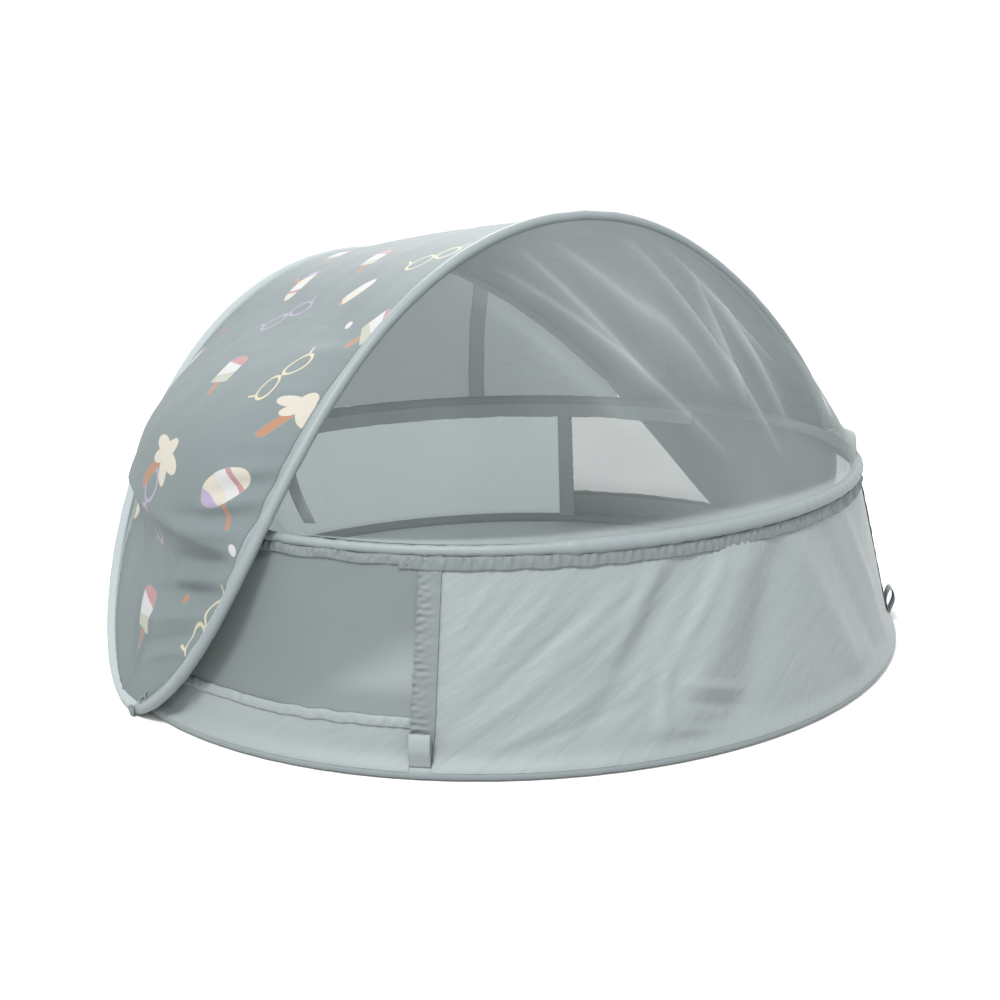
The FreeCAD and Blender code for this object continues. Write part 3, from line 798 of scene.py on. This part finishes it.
frontFolds = [   # x, y of both ends, height, width
    (0.440, 0.280, 0.235, -0.040, 0.0150, 0.030), (0.510, 0.280, 0.330, -0.040, -0.0110, 0.030),
    (0.345, 0.270, 0.150, 0.000, -0.0075, 0.018), (0.395, 0.250, 0.262, 0.075, 0.0050, 0.010),
    (0.275, 0.120, 0.250, -0.030, 0.0040, 0.009), (0.300, 0.260, 0.200, 0.110, 0.0050, 0.012),
    (0.285, 0.078, 0.390, 0.050, 0.0040, 0.007), (0.285, 0.058, 0.385, 0.030, -0.0035, 0.007),
    (0.275, 0.022, 0.380, 0.006, 0.0040, 0.006), (0.470, 0.280, 0.640, -0.040, 0.0075, 0.024),
    (0.560, 0.280, 0.720, -0.040, -0.0060, 0.020), (0.640, 0.280, 0.780, -0.040, 0.0050, 0.018),
    (0.005, 0.060, 0.170, 0.230, 0.0030, 0.008), (0.005, 0.090, 0.130, 0.240, -0.0026, 0.007),
    (0.005, 0.015, 0.230, 0.170, 0.0032, 0.009), (0.005, 0.035, 0.190, 0.190, -0.0026, 0.007),
    (0.010, -0.010, 0.230, 0.100, 0.0028, 0.008), (0.040, 0.000, 0.250, 0.070, -0.0022, 0.007),
    (0.005, 0.130, 0.090, 0.245, 0.0026, 0.007), (0.100, 0.090, 0.240, 0.210, 0.0028, 0.010),
]


def frontRelief(x, y):
    # the folds over slow and fine waves
    return (ridges(x, y, frontFolds) + 0.0016 * waves(x - 0.5 * y, y * 0.35 - x * 0.2, 21, 0.110)
            + 0.00022 * waves(x * 0.8 - y * 0.5, y * 0.4, 22, 0.022))


def rearRelief(x, y):
    # seven slanting tension folds
    fold = [(0.66 - 0.085 * k, 0.245, 0.50 - 0.085 * k, -0.02, 0.0016, 0.005) for k in range(7)]
    return ridges(x, y, fold) + 0.0012 * waves(x, y * 0.5, 31, 0.10)


def meshRelief(x, y):
    # slow waves only
    return 0.0015 * waves(x * 0.5, y, 41, 0.12)


def skirtRelief(x, y):
    # slow waves with finer ones on them
    return 0.0012 * waves(x, y, 51, 0.06) + 0.0006 * waves(x, y * 0.3, 52, 0.02)


addWall("frontWall", "wall_front", (180 + seamDeg + seamHalf, 360 - seamDeg - seamHalf),
        wallLow, wallHigh, wallCloth, frontRelief, (320, 110))
addWall("rearWall", "wall_rear", (seamDeg + seamHalf, 180 - seamDeg - seamHalf),
        wallLow, wallHigh, rearCloth, rearRelief, (240, 80))
for side, middle in (("left", 180), ("right", 0)):
    span = (middle - seamDeg + seamHalf, middle + seamDeg - seamHalf)
    addWall(side + "Mesh", "mesh_" + side, span, wallLow + tent["skirtHigh"], wallHigh,
            meshCloth, meshRelief, (160, 50), -0.004)
    addWall(side + "Skirt", "skirt_" + side, span, wallLow, wallLow + tent["skirtHigh"],
            wallCloth, skirtRelief, (200, 24))


def gatheredStrip(name, node, middleDeg, side, material, out=0.0012):
    # upright strip, its edges puckered by the seam: ripples along the height, strongest at the mesh
    share = np.linspace(0, 1, 170)[None, :]
    across = np.linspace(-1, 1, 26)[:, None]
    height = wallLow + (wallHigh - wallLow) * share
    shareUp = (height - tent["sleeve"]) / (tent["rimZ"] - tent["sleeve"])
    pull = 0.06 * waves(height, 0 * height, 60 + side, 0.016, 5) * (across * side > 0)
    direction = np.radians(middleDeg + across * (seamHalf + 0.14) * (1 + pull))
    toMesh = ease((across * side + 1) / 2)
    ripple = (0.0013 * waves(height, across * 0.004, 61 + side, 0.0075, 6) * toMesh
              + 0.0006 * waves(height, across * 0.01, 65, 0.03, 4))
    lip = 0.0010 * (np.abs(across) > 0.86)
    direction, shareUp = np.broadcast_arrays(direction, shareUp)
    points = penPoint(direction, shareUp, out + (ripple + lip) * np.sign(out))
    uv = np.stack(np.broadcast_arrays(across * 0.0125, height), -1)
    piece = addSurface(name, points, material, uv)
    thicken(piece, 0.0008)
    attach(piece, "root")
    if node:
        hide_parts(node)


for number, middle, side in ((1, 180 + seamDeg, -1), (2, 360 - seamDeg, 1), (3, seamDeg, -1),
                             (4, 180 - seamDeg, 1)):
    gatheredStrip("seamStrip%d" % number, "seam_strip_%d" % number, middle, side, stripCloth)
    gatheredStrip("innerTape%d" % number, None, middle, side, hemAndShadeCloth, -0.0022)


def gatheredRing(name, spanDeg, low, high, out, material, seed, replaced, pleat=0.0016,
                 pitch=0.010):
    # a narrow elastic band along the wall: close upright pleats, flattened at both edges
    count = int(abs(spanDeg[1] - spanDeg[0]) * 9)
    direction = np.radians(np.linspace(spanDeg[0], spanDeg[1], count))[:, None]
    share = np.linspace(0, 1, 9)[None, :]
    height = low + (high - low) * share + 0.0012 * waves(direction * 0.55, 0 * share, seed, 0.05)
    shareUp = (height - tent["sleeve"]) / (tent["rimZ"] - tent["sleeve"])
    pleats = pleat * waves(direction * 0.55, share * 0.004, seed + 1, pitch, 6)
    direction, shareUp = np.broadcast_arrays(direction, shareUp)
    lift = out + pleats * (0.35 + 0.65 * np.sin(pi * share)) + 0.001 * np.sin(pi * share)
    points = penPoint(direction, shareUp, lift)
    uv = np.stack([lengths(points)[:, 4][:, None] + 0 * shareUp, height + 0 * shareUp], -1)
    piece = addSurface(name, points, material, uv)
    thicken(piece, 0.0008)
    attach(piece, "root")
    if replaced:
        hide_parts(replaced)


gatheredRing("rimBand", (180 + seamDeg - 4, 360 - seamDeg + 28), 0.2335, 0.2495, 0.0016, bandCloth,
             71, "rim_band")
# a band of painted shadow inside the wall below the rear rim, where the hem's shadow falls; it has no
# glow, so it shows darker than the wall
gatheredRing("rimShadowBand", (14, 196), 0.2240, 0.2520, -0.0030, hemAndShadeCloth, 77, None,
             0.0010, 0.018)
for side, middle in (("left", 180), ("right", 0)):
    span = (middle - seamDeg + seamHalf, middle + seamDeg - seamHalf)
    gatheredRing(side + "MeshHem", span, wallLow + tent["skirtHigh"] - 0.005,
                 wallLow + tent["skirtHigh"] + 0.007, 0.0010, wallCloth, 73, None,
                 0.0010, 0.009)
    gatheredRing(side + "RimHem", span, 0.2380, 0.2495, 0.0012, bandCloth, 75, None)


# ---- floor ----

floorLook = {"ripple": 0.0016, "rows": 60, "columns": 260, "inset": 0.008, "high": 0.0022, "low": 0.0009}
# rings of the base ellipse, lifted by two sizes of waves that die out at the middle and the edge
angle = 2 * pi * np.arange(floorLook["columns"]) / floorLook["columns"]
radius = np.linspace(0.0, 1.0, floorLook["rows"])[:, None] ** 0.8
fx = radius * (tent["baseA"] - floorLook["inset"]) * np.cos(angle)[None]
fy = radius * (tent["baseB"] - floorLook["inset"]) * np.sin(angle)[None]
lift = floorLook["ripple"] * (waves(fx, fy, 81, 0.16) + 0.4 * waves(fx, fy, 82, 0.05))
fz = floorLook["high"] + lift * np.clip((1 - radius) * 12, 0, 1) * np.clip(radius * 30, 0, 1)
fz = np.maximum(fz, floorLook["low"])
columnsClosed = np.arange(floorLook["columns"] + 1) % floorLook["columns"]
floorUv = np.stack([fx, fy], -1)[:, columnsClosed]
floorUv = np.concatenate([floorUv, floorUv[-1:]])
floorSheet = addSurface("floorSheet", np.stack([fx, fy, fz], -1), floorCloth, floorUv, closeV=True)
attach(floorSheet, "root")
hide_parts("floor_sheet")


# ---- canopy cloth ----

print("canopy")
canopyLook = {"rows": 400, "columns": 170, "start": 0.035, "room": 0.006, "foldHigh": 1.5,
              "crestAt": 0.272, "crestHigh": 0.0175,   # where the rim presses into the cloth
              "hollowAt": 0.200, "hollowDeep": 0.0095}


def outsidePen(p, room):
    # scale x and y out to the pen's outline plus room where the point would fall inside;
    # the push dies out above the rim
    share = np.clip((p[..., 2] - tent["sleeve"]) / (tent["rimZ"] - tent["sleeve"]), 0, 1)
    room = room + 0.006 * np.exp(-((p[..., 2] - tent["rimZ"]) / 0.032) ** 2)
    halfA = tent["baseA"] + (tent["rimA"] - tent["baseA"]) * share + room
    halfB = tent["baseB"] + (tent["rimB"] - tent["baseB"]) * share + room
    short = 1 / np.maximum(np.hypot(p[..., 0] / halfA, p[..., 1] / halfB), 0.05) - 1
    soft = 0.012 * np.logaddexp(0, np.clip(short / 0.012, -40, 40))
    grow = 1 + soft * (1 - ease((p[..., 2] - tent["rimZ"] - 0.022) / 0.210))
    return p * np.stack([grow, grow, np.ones_like(grow)], -1)


turn = archTurns(canopyLook["rows"], canopyLook["start"])[:, None]
w = np.linspace(0, 1, canopyLook["columns"])[None, :]
turn, w = np.broadcast_arrays(turn, w)
frontEdge, rearEdge = archPoint(turn, -1), archPoint(turn, 1)
gap = np.linalg.norm(rearEdge - frontEdge, axis=-1, keepdims=True)
inset = np.minimum(tent["sleeve"] + 0.0008, gap * 0.45)
begin = frontEdge + unit(rearEdge - frontEdge) * inset
finish = rearEdge + unit(frontEdge - rearEdge) * inset
flat = begin + (finish - begin) * w[..., None]
hump = (4 * w * (1 - w))[..., None]
pushed = flat + (outsidePen(flat, tent["sleeve"] + canopyLook["room"]) - flat) * (1 - (1 - hump) ** 3)
canopyPoints = pushed + np.array([0, 0, canopyLook["room"]]) * hump * np.sin(turn)[..., None]

along = lengths(canopyPoints)[:, canopyLook["columns"] // 2][:, None] + 0 * w
wide = lengths(canopyPoints, 1)
acrossV = wide - wide[:, -1:] / 2
canopyFolds = [   # along, across, along, across, height, width
    (0.455, -0.300, 0.420, -0.190, 0.0030, 0.009), (0.415, -0.300, 0.365, -0.180, 0.0042, 0.008),
    (0.395, -0.300, 0.325, -0.150, -0.0040, 0.008), (0.370, -0.300, 0.310, -0.150, 0.0048, 0.008),
    (0.340, -0.290, 0.285, -0.090, -0.0045, 0.009), (0.312, -0.280, 0.275, -0.110, 0.0040, 0.008),
    (0.285, -0.270, 0.225, -0.070, -0.0055, 0.009), (0.262, -0.260, 0.195, -0.060, 0.0050, 0.008),
    (0.240, -0.240, 0.160, -0.010, -0.0050, 0.009), (0.215, -0.220, 0.125, -0.020, 0.0045, 0.008),
    (0.185, -0.200, 0.095, -0.020, -0.0038, 0.008), (0.155, -0.180, 0.080, -0.030, 0.0030, 0.007),
    (0.300, 0.100, 0.180, 0.060, 0.0035, 0.012), (0.360, 0.180, 0.210, 0.060, -0.0030, 0.012),
    (0.650, -0.300, 0.580, -0.120, 0.0022, 0.012), (0.560, -0.300, 0.520, -0.200, 0.0020, 0.010),
    (0.030, 0.010, 0.150, -0.040, 0.0025, 0.006), (0.030, 0.000, 0.160, 0.030, -0.0025, 0.006),
]
total = float(along.max())
canopyFolds = [(a, b, c, d, canopyLook["foldHigh"] * h, t) for a, b, c, d, h, t in canopyFolds]
foldsBoth = canopyFolds + [(total - a, b, total - c, d, h, t) for a, b, c, d, h, t in canopyFolds]
relief = ridges(along, acrossV, foldsBoth) + 0.0012 * waves(along, acrossV, 91, 0.12)
fromEnd = np.minimum(along, total - along)    # the rim presses a sharp crest into the cloth
above = fromEnd - canopyLook["crestAt"]
crest = np.exp(-np.abs(above) / np.where(above > 0, 0.070, 0.015))
crest = crest * ease((acrossV + 0.285) / 0.06) * ease((0.16 - acrossV) / 0.10)
relief = relief + canopyLook["crestHigh"] * crest
relief = relief - canopyLook["hollowDeep"] * np.exp(-((fromEnd - canopyLook["hollowAt"]) / 0.036) ** 2)
normal = unit(np.cross(np.gradient(canopyPoints, axis=0), np.gradient(canopyPoints, axis=1)))
outwards = normal[..., 2:3] + normal[..., 0:1] * np.sign(canopyPoints[..., 0:1])
normal = normal * np.where(outwards > 0, 1, -1)
edgeHold = np.sin(pi * w) ** 0.35
hem = np.where(wide[:, -1:] - wide < canopyHem, 1.0, 0.0)
relief = relief + hem * (0.0009 + 0.0009 * waves(along + 0.5 * wide, wide * 0.2, 95, 0.011, 5))
canopyPoints = canopyPoints + normal * (relief * edgeHold)[..., None]
canopy = addSurface("canopyCloth", canopyPoints, canopyCloth, np.stack([along, acrossV], -1),
                    second=canopyLining)
for label, away in (("fromFront", wide), ("fromRear", wide[:, -1:] - wide)):
    layer = canopy.data.attributes.new(label, "FLOAT", "POINT")
    layer.data.foreach_set("value", away.reshape(-1).astype(np.float32))
thicken(canopy, 0.0008, 1)
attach(canopy, "canopy")
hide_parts("canopy_cloth")


# ---- insect net and back panel ----

print("net and back panel")


def hangingGrid(side, turnFrom, turnTo, rimFrom, rimTo, rows, columns, belly, drop=0.0072):
    # ruled from an arch down to the rim, with a belly of 4 w (1 - w) sin(pi u)
    u = np.linspace(0, 1, rows)[:, None]
    w = np.linspace(0, 1, columns)[None, :]
    u, w = np.broadcast_arrays(u, w)
    arch = archPoint(np.radians(turnFrom + (turnTo - turnFrom) * u), side)
    rim = rimPoint(np.radians(rimFrom + (rimTo - rimFrom) * u), 0 * u, drop + 0 * u)
    start = towards(arch, rim, tent["sleeve"] + 0.0005)
    hump = (4 * w * (1 - w) * np.sin(pi * u))[..., None]
    return u, w, start + (rim - start) * w[..., None] + np.array(belly) * hump


netLook = {"flat": (1.30, 0.50), "streak": 0.26, "streakWide": 0.0034, "haze": 0.14, "hazeWide": 0.014,
           "clearer": 0.42, "bulge": 0.019}
u, w, netPoints = hangingGrid(-1, 54, 126, -157, -23, 420, 150, (0, -0.014, 0.010))
netU, netV = lengths(netPoints)[:, 0][:, None] + 0 * w, lengths(netPoints, 1)
x, y = u * netLook["flat"][0], w * netLook["flat"][1]
netFolds = [   # x, y of both ends, height, width
    (0.660, 0.030, 0.740, 0.430, 0.0030, 0.006), (0.735, 0.070, 0.705, 0.340, 0.0028, 0.006),
    (0.625, 0.030, 0.672, 0.320, 0.0026, 0.006), (0.590, 0.020, 0.612, 0.300, 0.0018, 0.008),
    (0.700, 0.030, 0.830, 0.260, 0.0024, 0.007), (0.765, 0.130, 0.785, 0.380, 0.0028, 0.006),
    (0.550, 0.030, 0.650, 0.420, 0.0020, 0.009), (0.745, 0.060, 0.800, 0.330, 0.0020, 0.006),
    (0.680, 0.020, 0.715, 0.260, -0.0022, 0.006), (0.500, 0.020, 0.560, 0.380, 0.0016, 0.010),
    (0.860, 0.200, 1.000, 0.420, 0.0040, 0.010), (0.900, 0.160, 1.080, 0.360, 0.0040, 0.010),
    (0.250, 0.040, 0.330, 0.400, 0.0020, 0.012), (0.360, 0.040, 0.430, 0.440, 0.0018, 0.012),
]
# how densely the net lies: thin streaks on its folds with a haze about them, bunched at the right
# and at the hem, clearer at the left
creased = [fold[:4] for fold in netFolds[:10] if fold[4] > 0]
streak = ridges(x, y, [line + (netLook["streak"], netLook["streakWide"]) for line in creased[:7]])
streak = streak + netLook["haze"] * ridges(x, y, [line + (1.0, netLook["hazeWide"]) for line in creased])
clearer = netLook["clearer"] * (1 - ease((u - 0.30) / 0.25))
bunched = ease((u - 0.70) / 0.22) * ease((w - 0.15) / 0.5) + 0.6 * ease((w - 0.955) / 0.03)
netNormal = unit(np.cross(np.gradient(netPoints, axis=0), np.gradient(netPoints, axis=1)))
netNormal = netNormal * np.sign(-netNormal[..., 1:2] + 1e-6)
netRelief = ridges(x, y, netFolds) + 0.002 * waves(x, y, 101, 0.2)
netRelief = netRelief * np.sin(pi * w) ** 0.6 * np.sin(pi * u) ** 0.3
overRim = np.exp(-((w - 0.90) / 0.10) ** 2) * ease((1 - w) / 0.04)
bulge = netLook["bulge"] * ease((u - 0.78) / 0.15) * overRim
netPoints = netPoints + netNormal * (netRelief + bulge)[..., None]
net = addSurface("insectNet", netPoints, netCloth, np.stack([netU, netV], -1))
layer = net.data.attributes.new("gather", "FLOAT", "POINT")
dense = np.clip(streak + bunched - clearer, -1, 1)
layer.data.foreach_set("value", dense.reshape(-1).astype(np.float32))
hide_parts("insect_net")
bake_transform(net)

backLook = {"flat": (1.05, 0.27), "lightFrom": 0.742, "bandColumns": (159, 166), "bandThick": 0.0012}
u, w, backPoints = hangingGrid(1, 48, 132, 148, 32, 220, 90, (0, 0.008, 0))
backU, backV = lengths(backPoints)[:, 0][:, None] + 0 * w, lengths(backPoints, 1)
x, y = u * backLook["flat"][0], w * backLook["flat"][1]
backFolds = [   # x, y of both ends, height, width
    (0.79, 0.030, 0.99, 0.120, 0.0045, 0.008), (0.79, 0.055, 1.00, 0.160, -0.0045, 0.008),
    (0.79, 0.085, 0.98, 0.190, 0.0050, 0.008), (0.79, 0.120, 0.97, 0.215, -0.0045, 0.008),
    (0.79, 0.160, 0.96, 0.240, 0.0050, 0.009), (0.79, 0.205, 0.93, 0.255, -0.0045, 0.009),
    (0.90, 0.060, 0.95, 0.250, 0.0035, 0.006), (0.93, 0.080, 0.96, 0.250, -0.0035, 0.006),
    (0.50, 0.240, 0.76, 0.060, 0.0030, 0.010), (0.52, 0.260, 0.77, 0.120, -0.0025, 0.010),
    (0.58, 0.270, 0.77, 0.180, 0.0030, 0.009), (0.10, 0.060, 0.35, 0.220, 0.0025, 0.012),
]
backRelief = (ridges(x, y, backFolds) + 0.0018 * waves(x * 0.6, y, 111, 0.10)) * np.sin(pi * w) ** 0.35
backPoints = backPoints + np.array([0, 1.0, 0.2]) * (backRelief * np.sin(pi * u) ** 0.4)[..., None]
# the part under the canopy takes the shaded copy and the rest the lit copy: painted shade and painted
# light
back = addSurface("backPanel", backPoints, shadedBackCloth, np.stack([backU, backV], -1),
                  second=litBackCloth, secondMask=(u > backLook["lightFrom"]))
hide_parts("back_panel")
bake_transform(back)

# the upright hem band lies on the inside of the back panel
columns = np.arange(*backLook["bandColumns"])
bandPoints = backPoints[columns] + np.array([0, -0.0022, 0])
backBand = addSurface("backBand", bandPoints, hemAndShadeCloth, np.stack([backU[columns], backV[columns]], -1))
thicken(backBand, backLook["bandThick"])
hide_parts("back_band")
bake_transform(backBand)


# hem of the net, laid inside the rim on the left and drawn over it along the front
hemLook = {"inside": 0.0155, "below": 0.0035, "thin": 0.0036, "thick": 0.0090}
hemAngle = np.radians(np.linspace(-152, 16, 420))
overRim = ease((np.degrees(hemAngle) + 133) / 16)
hemPath = rimPoint(hemAngle, -hemLook["inside"] * (1 - overRim), -hemLook["below"] * (1 - overRim))
hemRadius = hemLook["thin"] + (hemLook["thick"] - hemLook["thin"]) * overRim
hemRun = lengths(hemPath)
hemRadius = hemRadius + 0.0004 * waves(hemRun, 0 * hemRun, 121, 0.02)
netHem = tubeAround("netHem", hemPath, False, hemRadius, bindingCloth,
                    np.broadcast_to(up, hemPath.shape))
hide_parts("net_hem")


# ---- small pieces ----

print("small pieces")


def seamPlace(degrees):
    # point on the base hoop seen in a direction, with the outward and along directions there
    seen = math.radians(degrees)
    t = math.atan2(tent["baseA"] * math.sin(seen), tent["baseB"] * math.cos(seen))
    spot = np.array([tent["baseA"] * math.cos(t), tent["baseB"] * math.sin(t), 0])
    out = unit(np.array([tent["baseB"] * math.cos(t), tent["baseA"] * math.sin(t), 0]))
    return spot, out, np.array([-out[1], out[0], 0])


pegLook = {"low": 0.0165, "reach": 0.0195, "bulge": 0.0062, "wide": 0.025, "thick": 0.0011}


def pegLoop(name, node, body, degrees):
    # webbing folded to a drop: height reach * (1 - cos t), bulge sin t, pinched together at its foot
    spot, out, beside = seamPlace(degrees)
    s = np.linspace(0, 1, 90)
    halfTurn = 2 * pi * s
    height = pegLook["low"] + pegLook["reach"] * (1 - np.cos(halfTurn))
    bulge = pegLook["bulge"] * np.sin(halfTurn) * (0.35 + 0.65 * ease((height - 0.018) / 0.022))
    wide = np.linspace(-pegLook["wide"] / 2, pegLook["wide"] / 2, 14)
    points = (spot + out * (0.003 + bulge)[:, None, None] + up * height[:, None, None]
              + beside * wide[None, :, None])
    uv = np.stack(np.broadcast_arrays(lengths(points)[:, :1], wide[None, :]), -1)
    piece = addSurface(name, points, webCloth, uv)
    thicken(piece, pegLook["thick"])
    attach(piece, body)
    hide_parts(node)


for number, degrees in (("1", 180 + seamDeg), ("2", 360 - seamDeg), ("3", seamDeg), ("4", 180 - seamDeg)):
    pegLoop("pegLoop" + number, "peg_loop_" + number, "peg_" + number, degrees)

# ribbon tie: a folded strip hanging inside the left leg of the front arch
tieLook = {"drop": 0.064, "wide": 0.014, "apart": 0.0012, "thick": 0.0007}
tieTop = archPoint(np.array(math.radians(57)), -1) + np.array([0.0155, 0.018, 0.004])
tieOut = np.array([0.733, 0.68, 0])
tieWide = np.array([0.68, -0.733, 0])
s = np.linspace(0, 1, 80)
swing = np.sin(pi * s) ** 0.8
drop = -tieLook["drop"] * swing
side = tieLook["apart"] * np.sign(0.5 - s) * np.abs(np.sin(2 * pi * s)) ** 0.7
strip = np.linspace(-tieLook["wide"] / 2, tieLook["wide"] / 2, 9)
swayed = np.array([0.018, -0.012, 0]) * swing[:, None, None] ** 1.5
tiePoints = (tieTop + swayed + tieOut * side[:, None, None] + up * drop[:, None, None]
             + tieWide * strip[None, :, None])
tie = addSurface("ribbonTie", tiePoints, bandCloth,
                 np.stack(np.broadcast_arrays(lengths(tiePoints)[:, :1], strip[None]), -1))
thicken(tie, tieLook["thick"])
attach(tie, "tie")
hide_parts("ribbon_tie")

for label, sign in (("Left", -1), ("Right", 1)):
    # snap cap: profile (r, x) turned about the X axis, a dome with a ring groove
    profileR = np.array([0.0, 0.002, 0.0035, 0.0042, 0.0052, 0.0062, 0.0070, 0.0072, 0.0070, 0.0])
    profileX = np.array([0.0029, 0.0029, 0.0027, 0.0020, 0.0021, 0.0027, 0.0024, 0.0012, 0.0, 0.0])
    turnCap = 2 * pi * np.arange(40) / 40
    base = tent["footX"] + tent["sleeve"] + 0.0003
    cap = np.stack(np.broadcast_arrays(sign * (base + profileX)[:, None],
                                       profileR[:, None] * np.cos(turnCap)[None],
                                       0.0079 + profileR[:, None] * np.sin(turnCap)[None]), -1)
    snap = addSurface("snap" + label, cap, webCloth, closeV=True, flip=sign > 0)
    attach(snap, "canopy")
    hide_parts("tack_" + label.lower())

eyeletLook = {"wire": 0.0013, "out": 0.0115,
              "places": ((0.604, -0.022, 0.030, 0.0075), (0.609, -0.012, 0.021, 0.0060))}   # x, y, z, R
for label, sign in (("Left", -1), ("Right", 1)):
    # eyelets sewn through the corner of the canopy cloth: torus (R + r cos b) turned about its axis
    for count, (px, py, pz, big) in enumerate(eyeletLook["places"]):
        a = (2 * pi * np.arange(36) / 36)[:, None]
        b = (2 * pi * np.arange(12) / 12)[None, :]
        facing = unit(np.array([sign * 0.80, -0.55, 0.25]))
        beside = unit(np.cross(facing, up))
        above = np.cross(beside, facing)
        reach = big + eyeletLook["wire"] * np.cos(b)
        eyelet = (np.array([sign * px, py, pz]) + (reach * np.cos(a))[..., None] * beside
                  + (reach * np.sin(a))[..., None] * above
                  + (eyeletLook["wire"] * np.sin(b) + 0 * a)[..., None] * facing
                  + facing * eyeletLook["out"])
        piece = addSurface("eyelet%s%d" % (label, count + 1), eyelet, webCloth, closeU=True, closeV=True)
        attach(piece, "canopy")

for name in ("base_wire", "rim_wire", "canopy_wire", "base_ferrule", "rim_ferrule", "canopy_ferrule"):
    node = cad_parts[name]
    node.data.materials.clear()
    node.data.materials.append(steel)


# ---- camera, light, floor ----

print("camera and light")
view = {"place": (-1.214, -1.510, 0.676), "turnDeg": -38.16, "downDeg": 14.15, "lens": 46.8}
cameraData = bpy.data.cameras.new("camera")
cameraData.lens = view["lens"]
cameraData.sensor_width = 36
camera = bpy.data.objects.new("camera", cameraData)
camera.location = view["place"]
camera.rotation_euler = (math.radians(90 - view["downDeg"]), 0, math.radians(view["turnDeg"]))
bpy.context.scene.collection.objects.link(camera)
bpy.context.scene.camera = camera

paperMaterial, paperTree, paperShader = startMaterial("palePaper", 0.9, 0.0, 0.1)
paperShader.inputs["Base Color"].default_value = (0.68, 0.68, 0.68, 1)
ground = {"size": 60.0, "z": -0.0005}
gx, gy = np.meshgrid(np.linspace(-1, 1, 3) * ground["size"], np.linspace(-1, 1, 3) * ground["size"],
                     indexing="ij")
groundSheet = addSurface("groundPaper", np.stack([gx, gy, ground["z"] + 0 * gx], -1), paperMaterial)

world = bpy.data.worlds.new("studio")
bpy.context.scene.world = world
world.use_nodes = True
world.node_tree.nodes["Background"].inputs[0].default_value = (1, 1, 1, 1)
world.node_tree.nodes["Background"].inputs[1].default_value = 1.5

lamps = {   # place, aim, size, power, colour
    "key": ((-1.9, -1.3, 3.1), (0, 0, 0.2), 0.8, 165, (1, 1, 1)),
    "back": ((1.2, 2.4, 2.2), (0, 0, 0.2), 1.8, 75, (1, 1, 1)),
}
for label, (spotAt, aim, size, power, tint) in lamps.items():
    data = bpy.data.lights.new(label, "AREA")
    data.shape, data.size, data.energy, data.color = "DISK", size, power, tint
    lamp = bpy.data.objects.new(label, data)
    lamp.location = spotAt
    lamp.rotation_euler = (Vector(aim) - Vector(spotAt)).to_track_quat("-Z", "Y").to_euler()
    bpy.context.scene.collection.objects.link(lamp)

bpy.context.scene.view_settings.view_transform = "Standard"
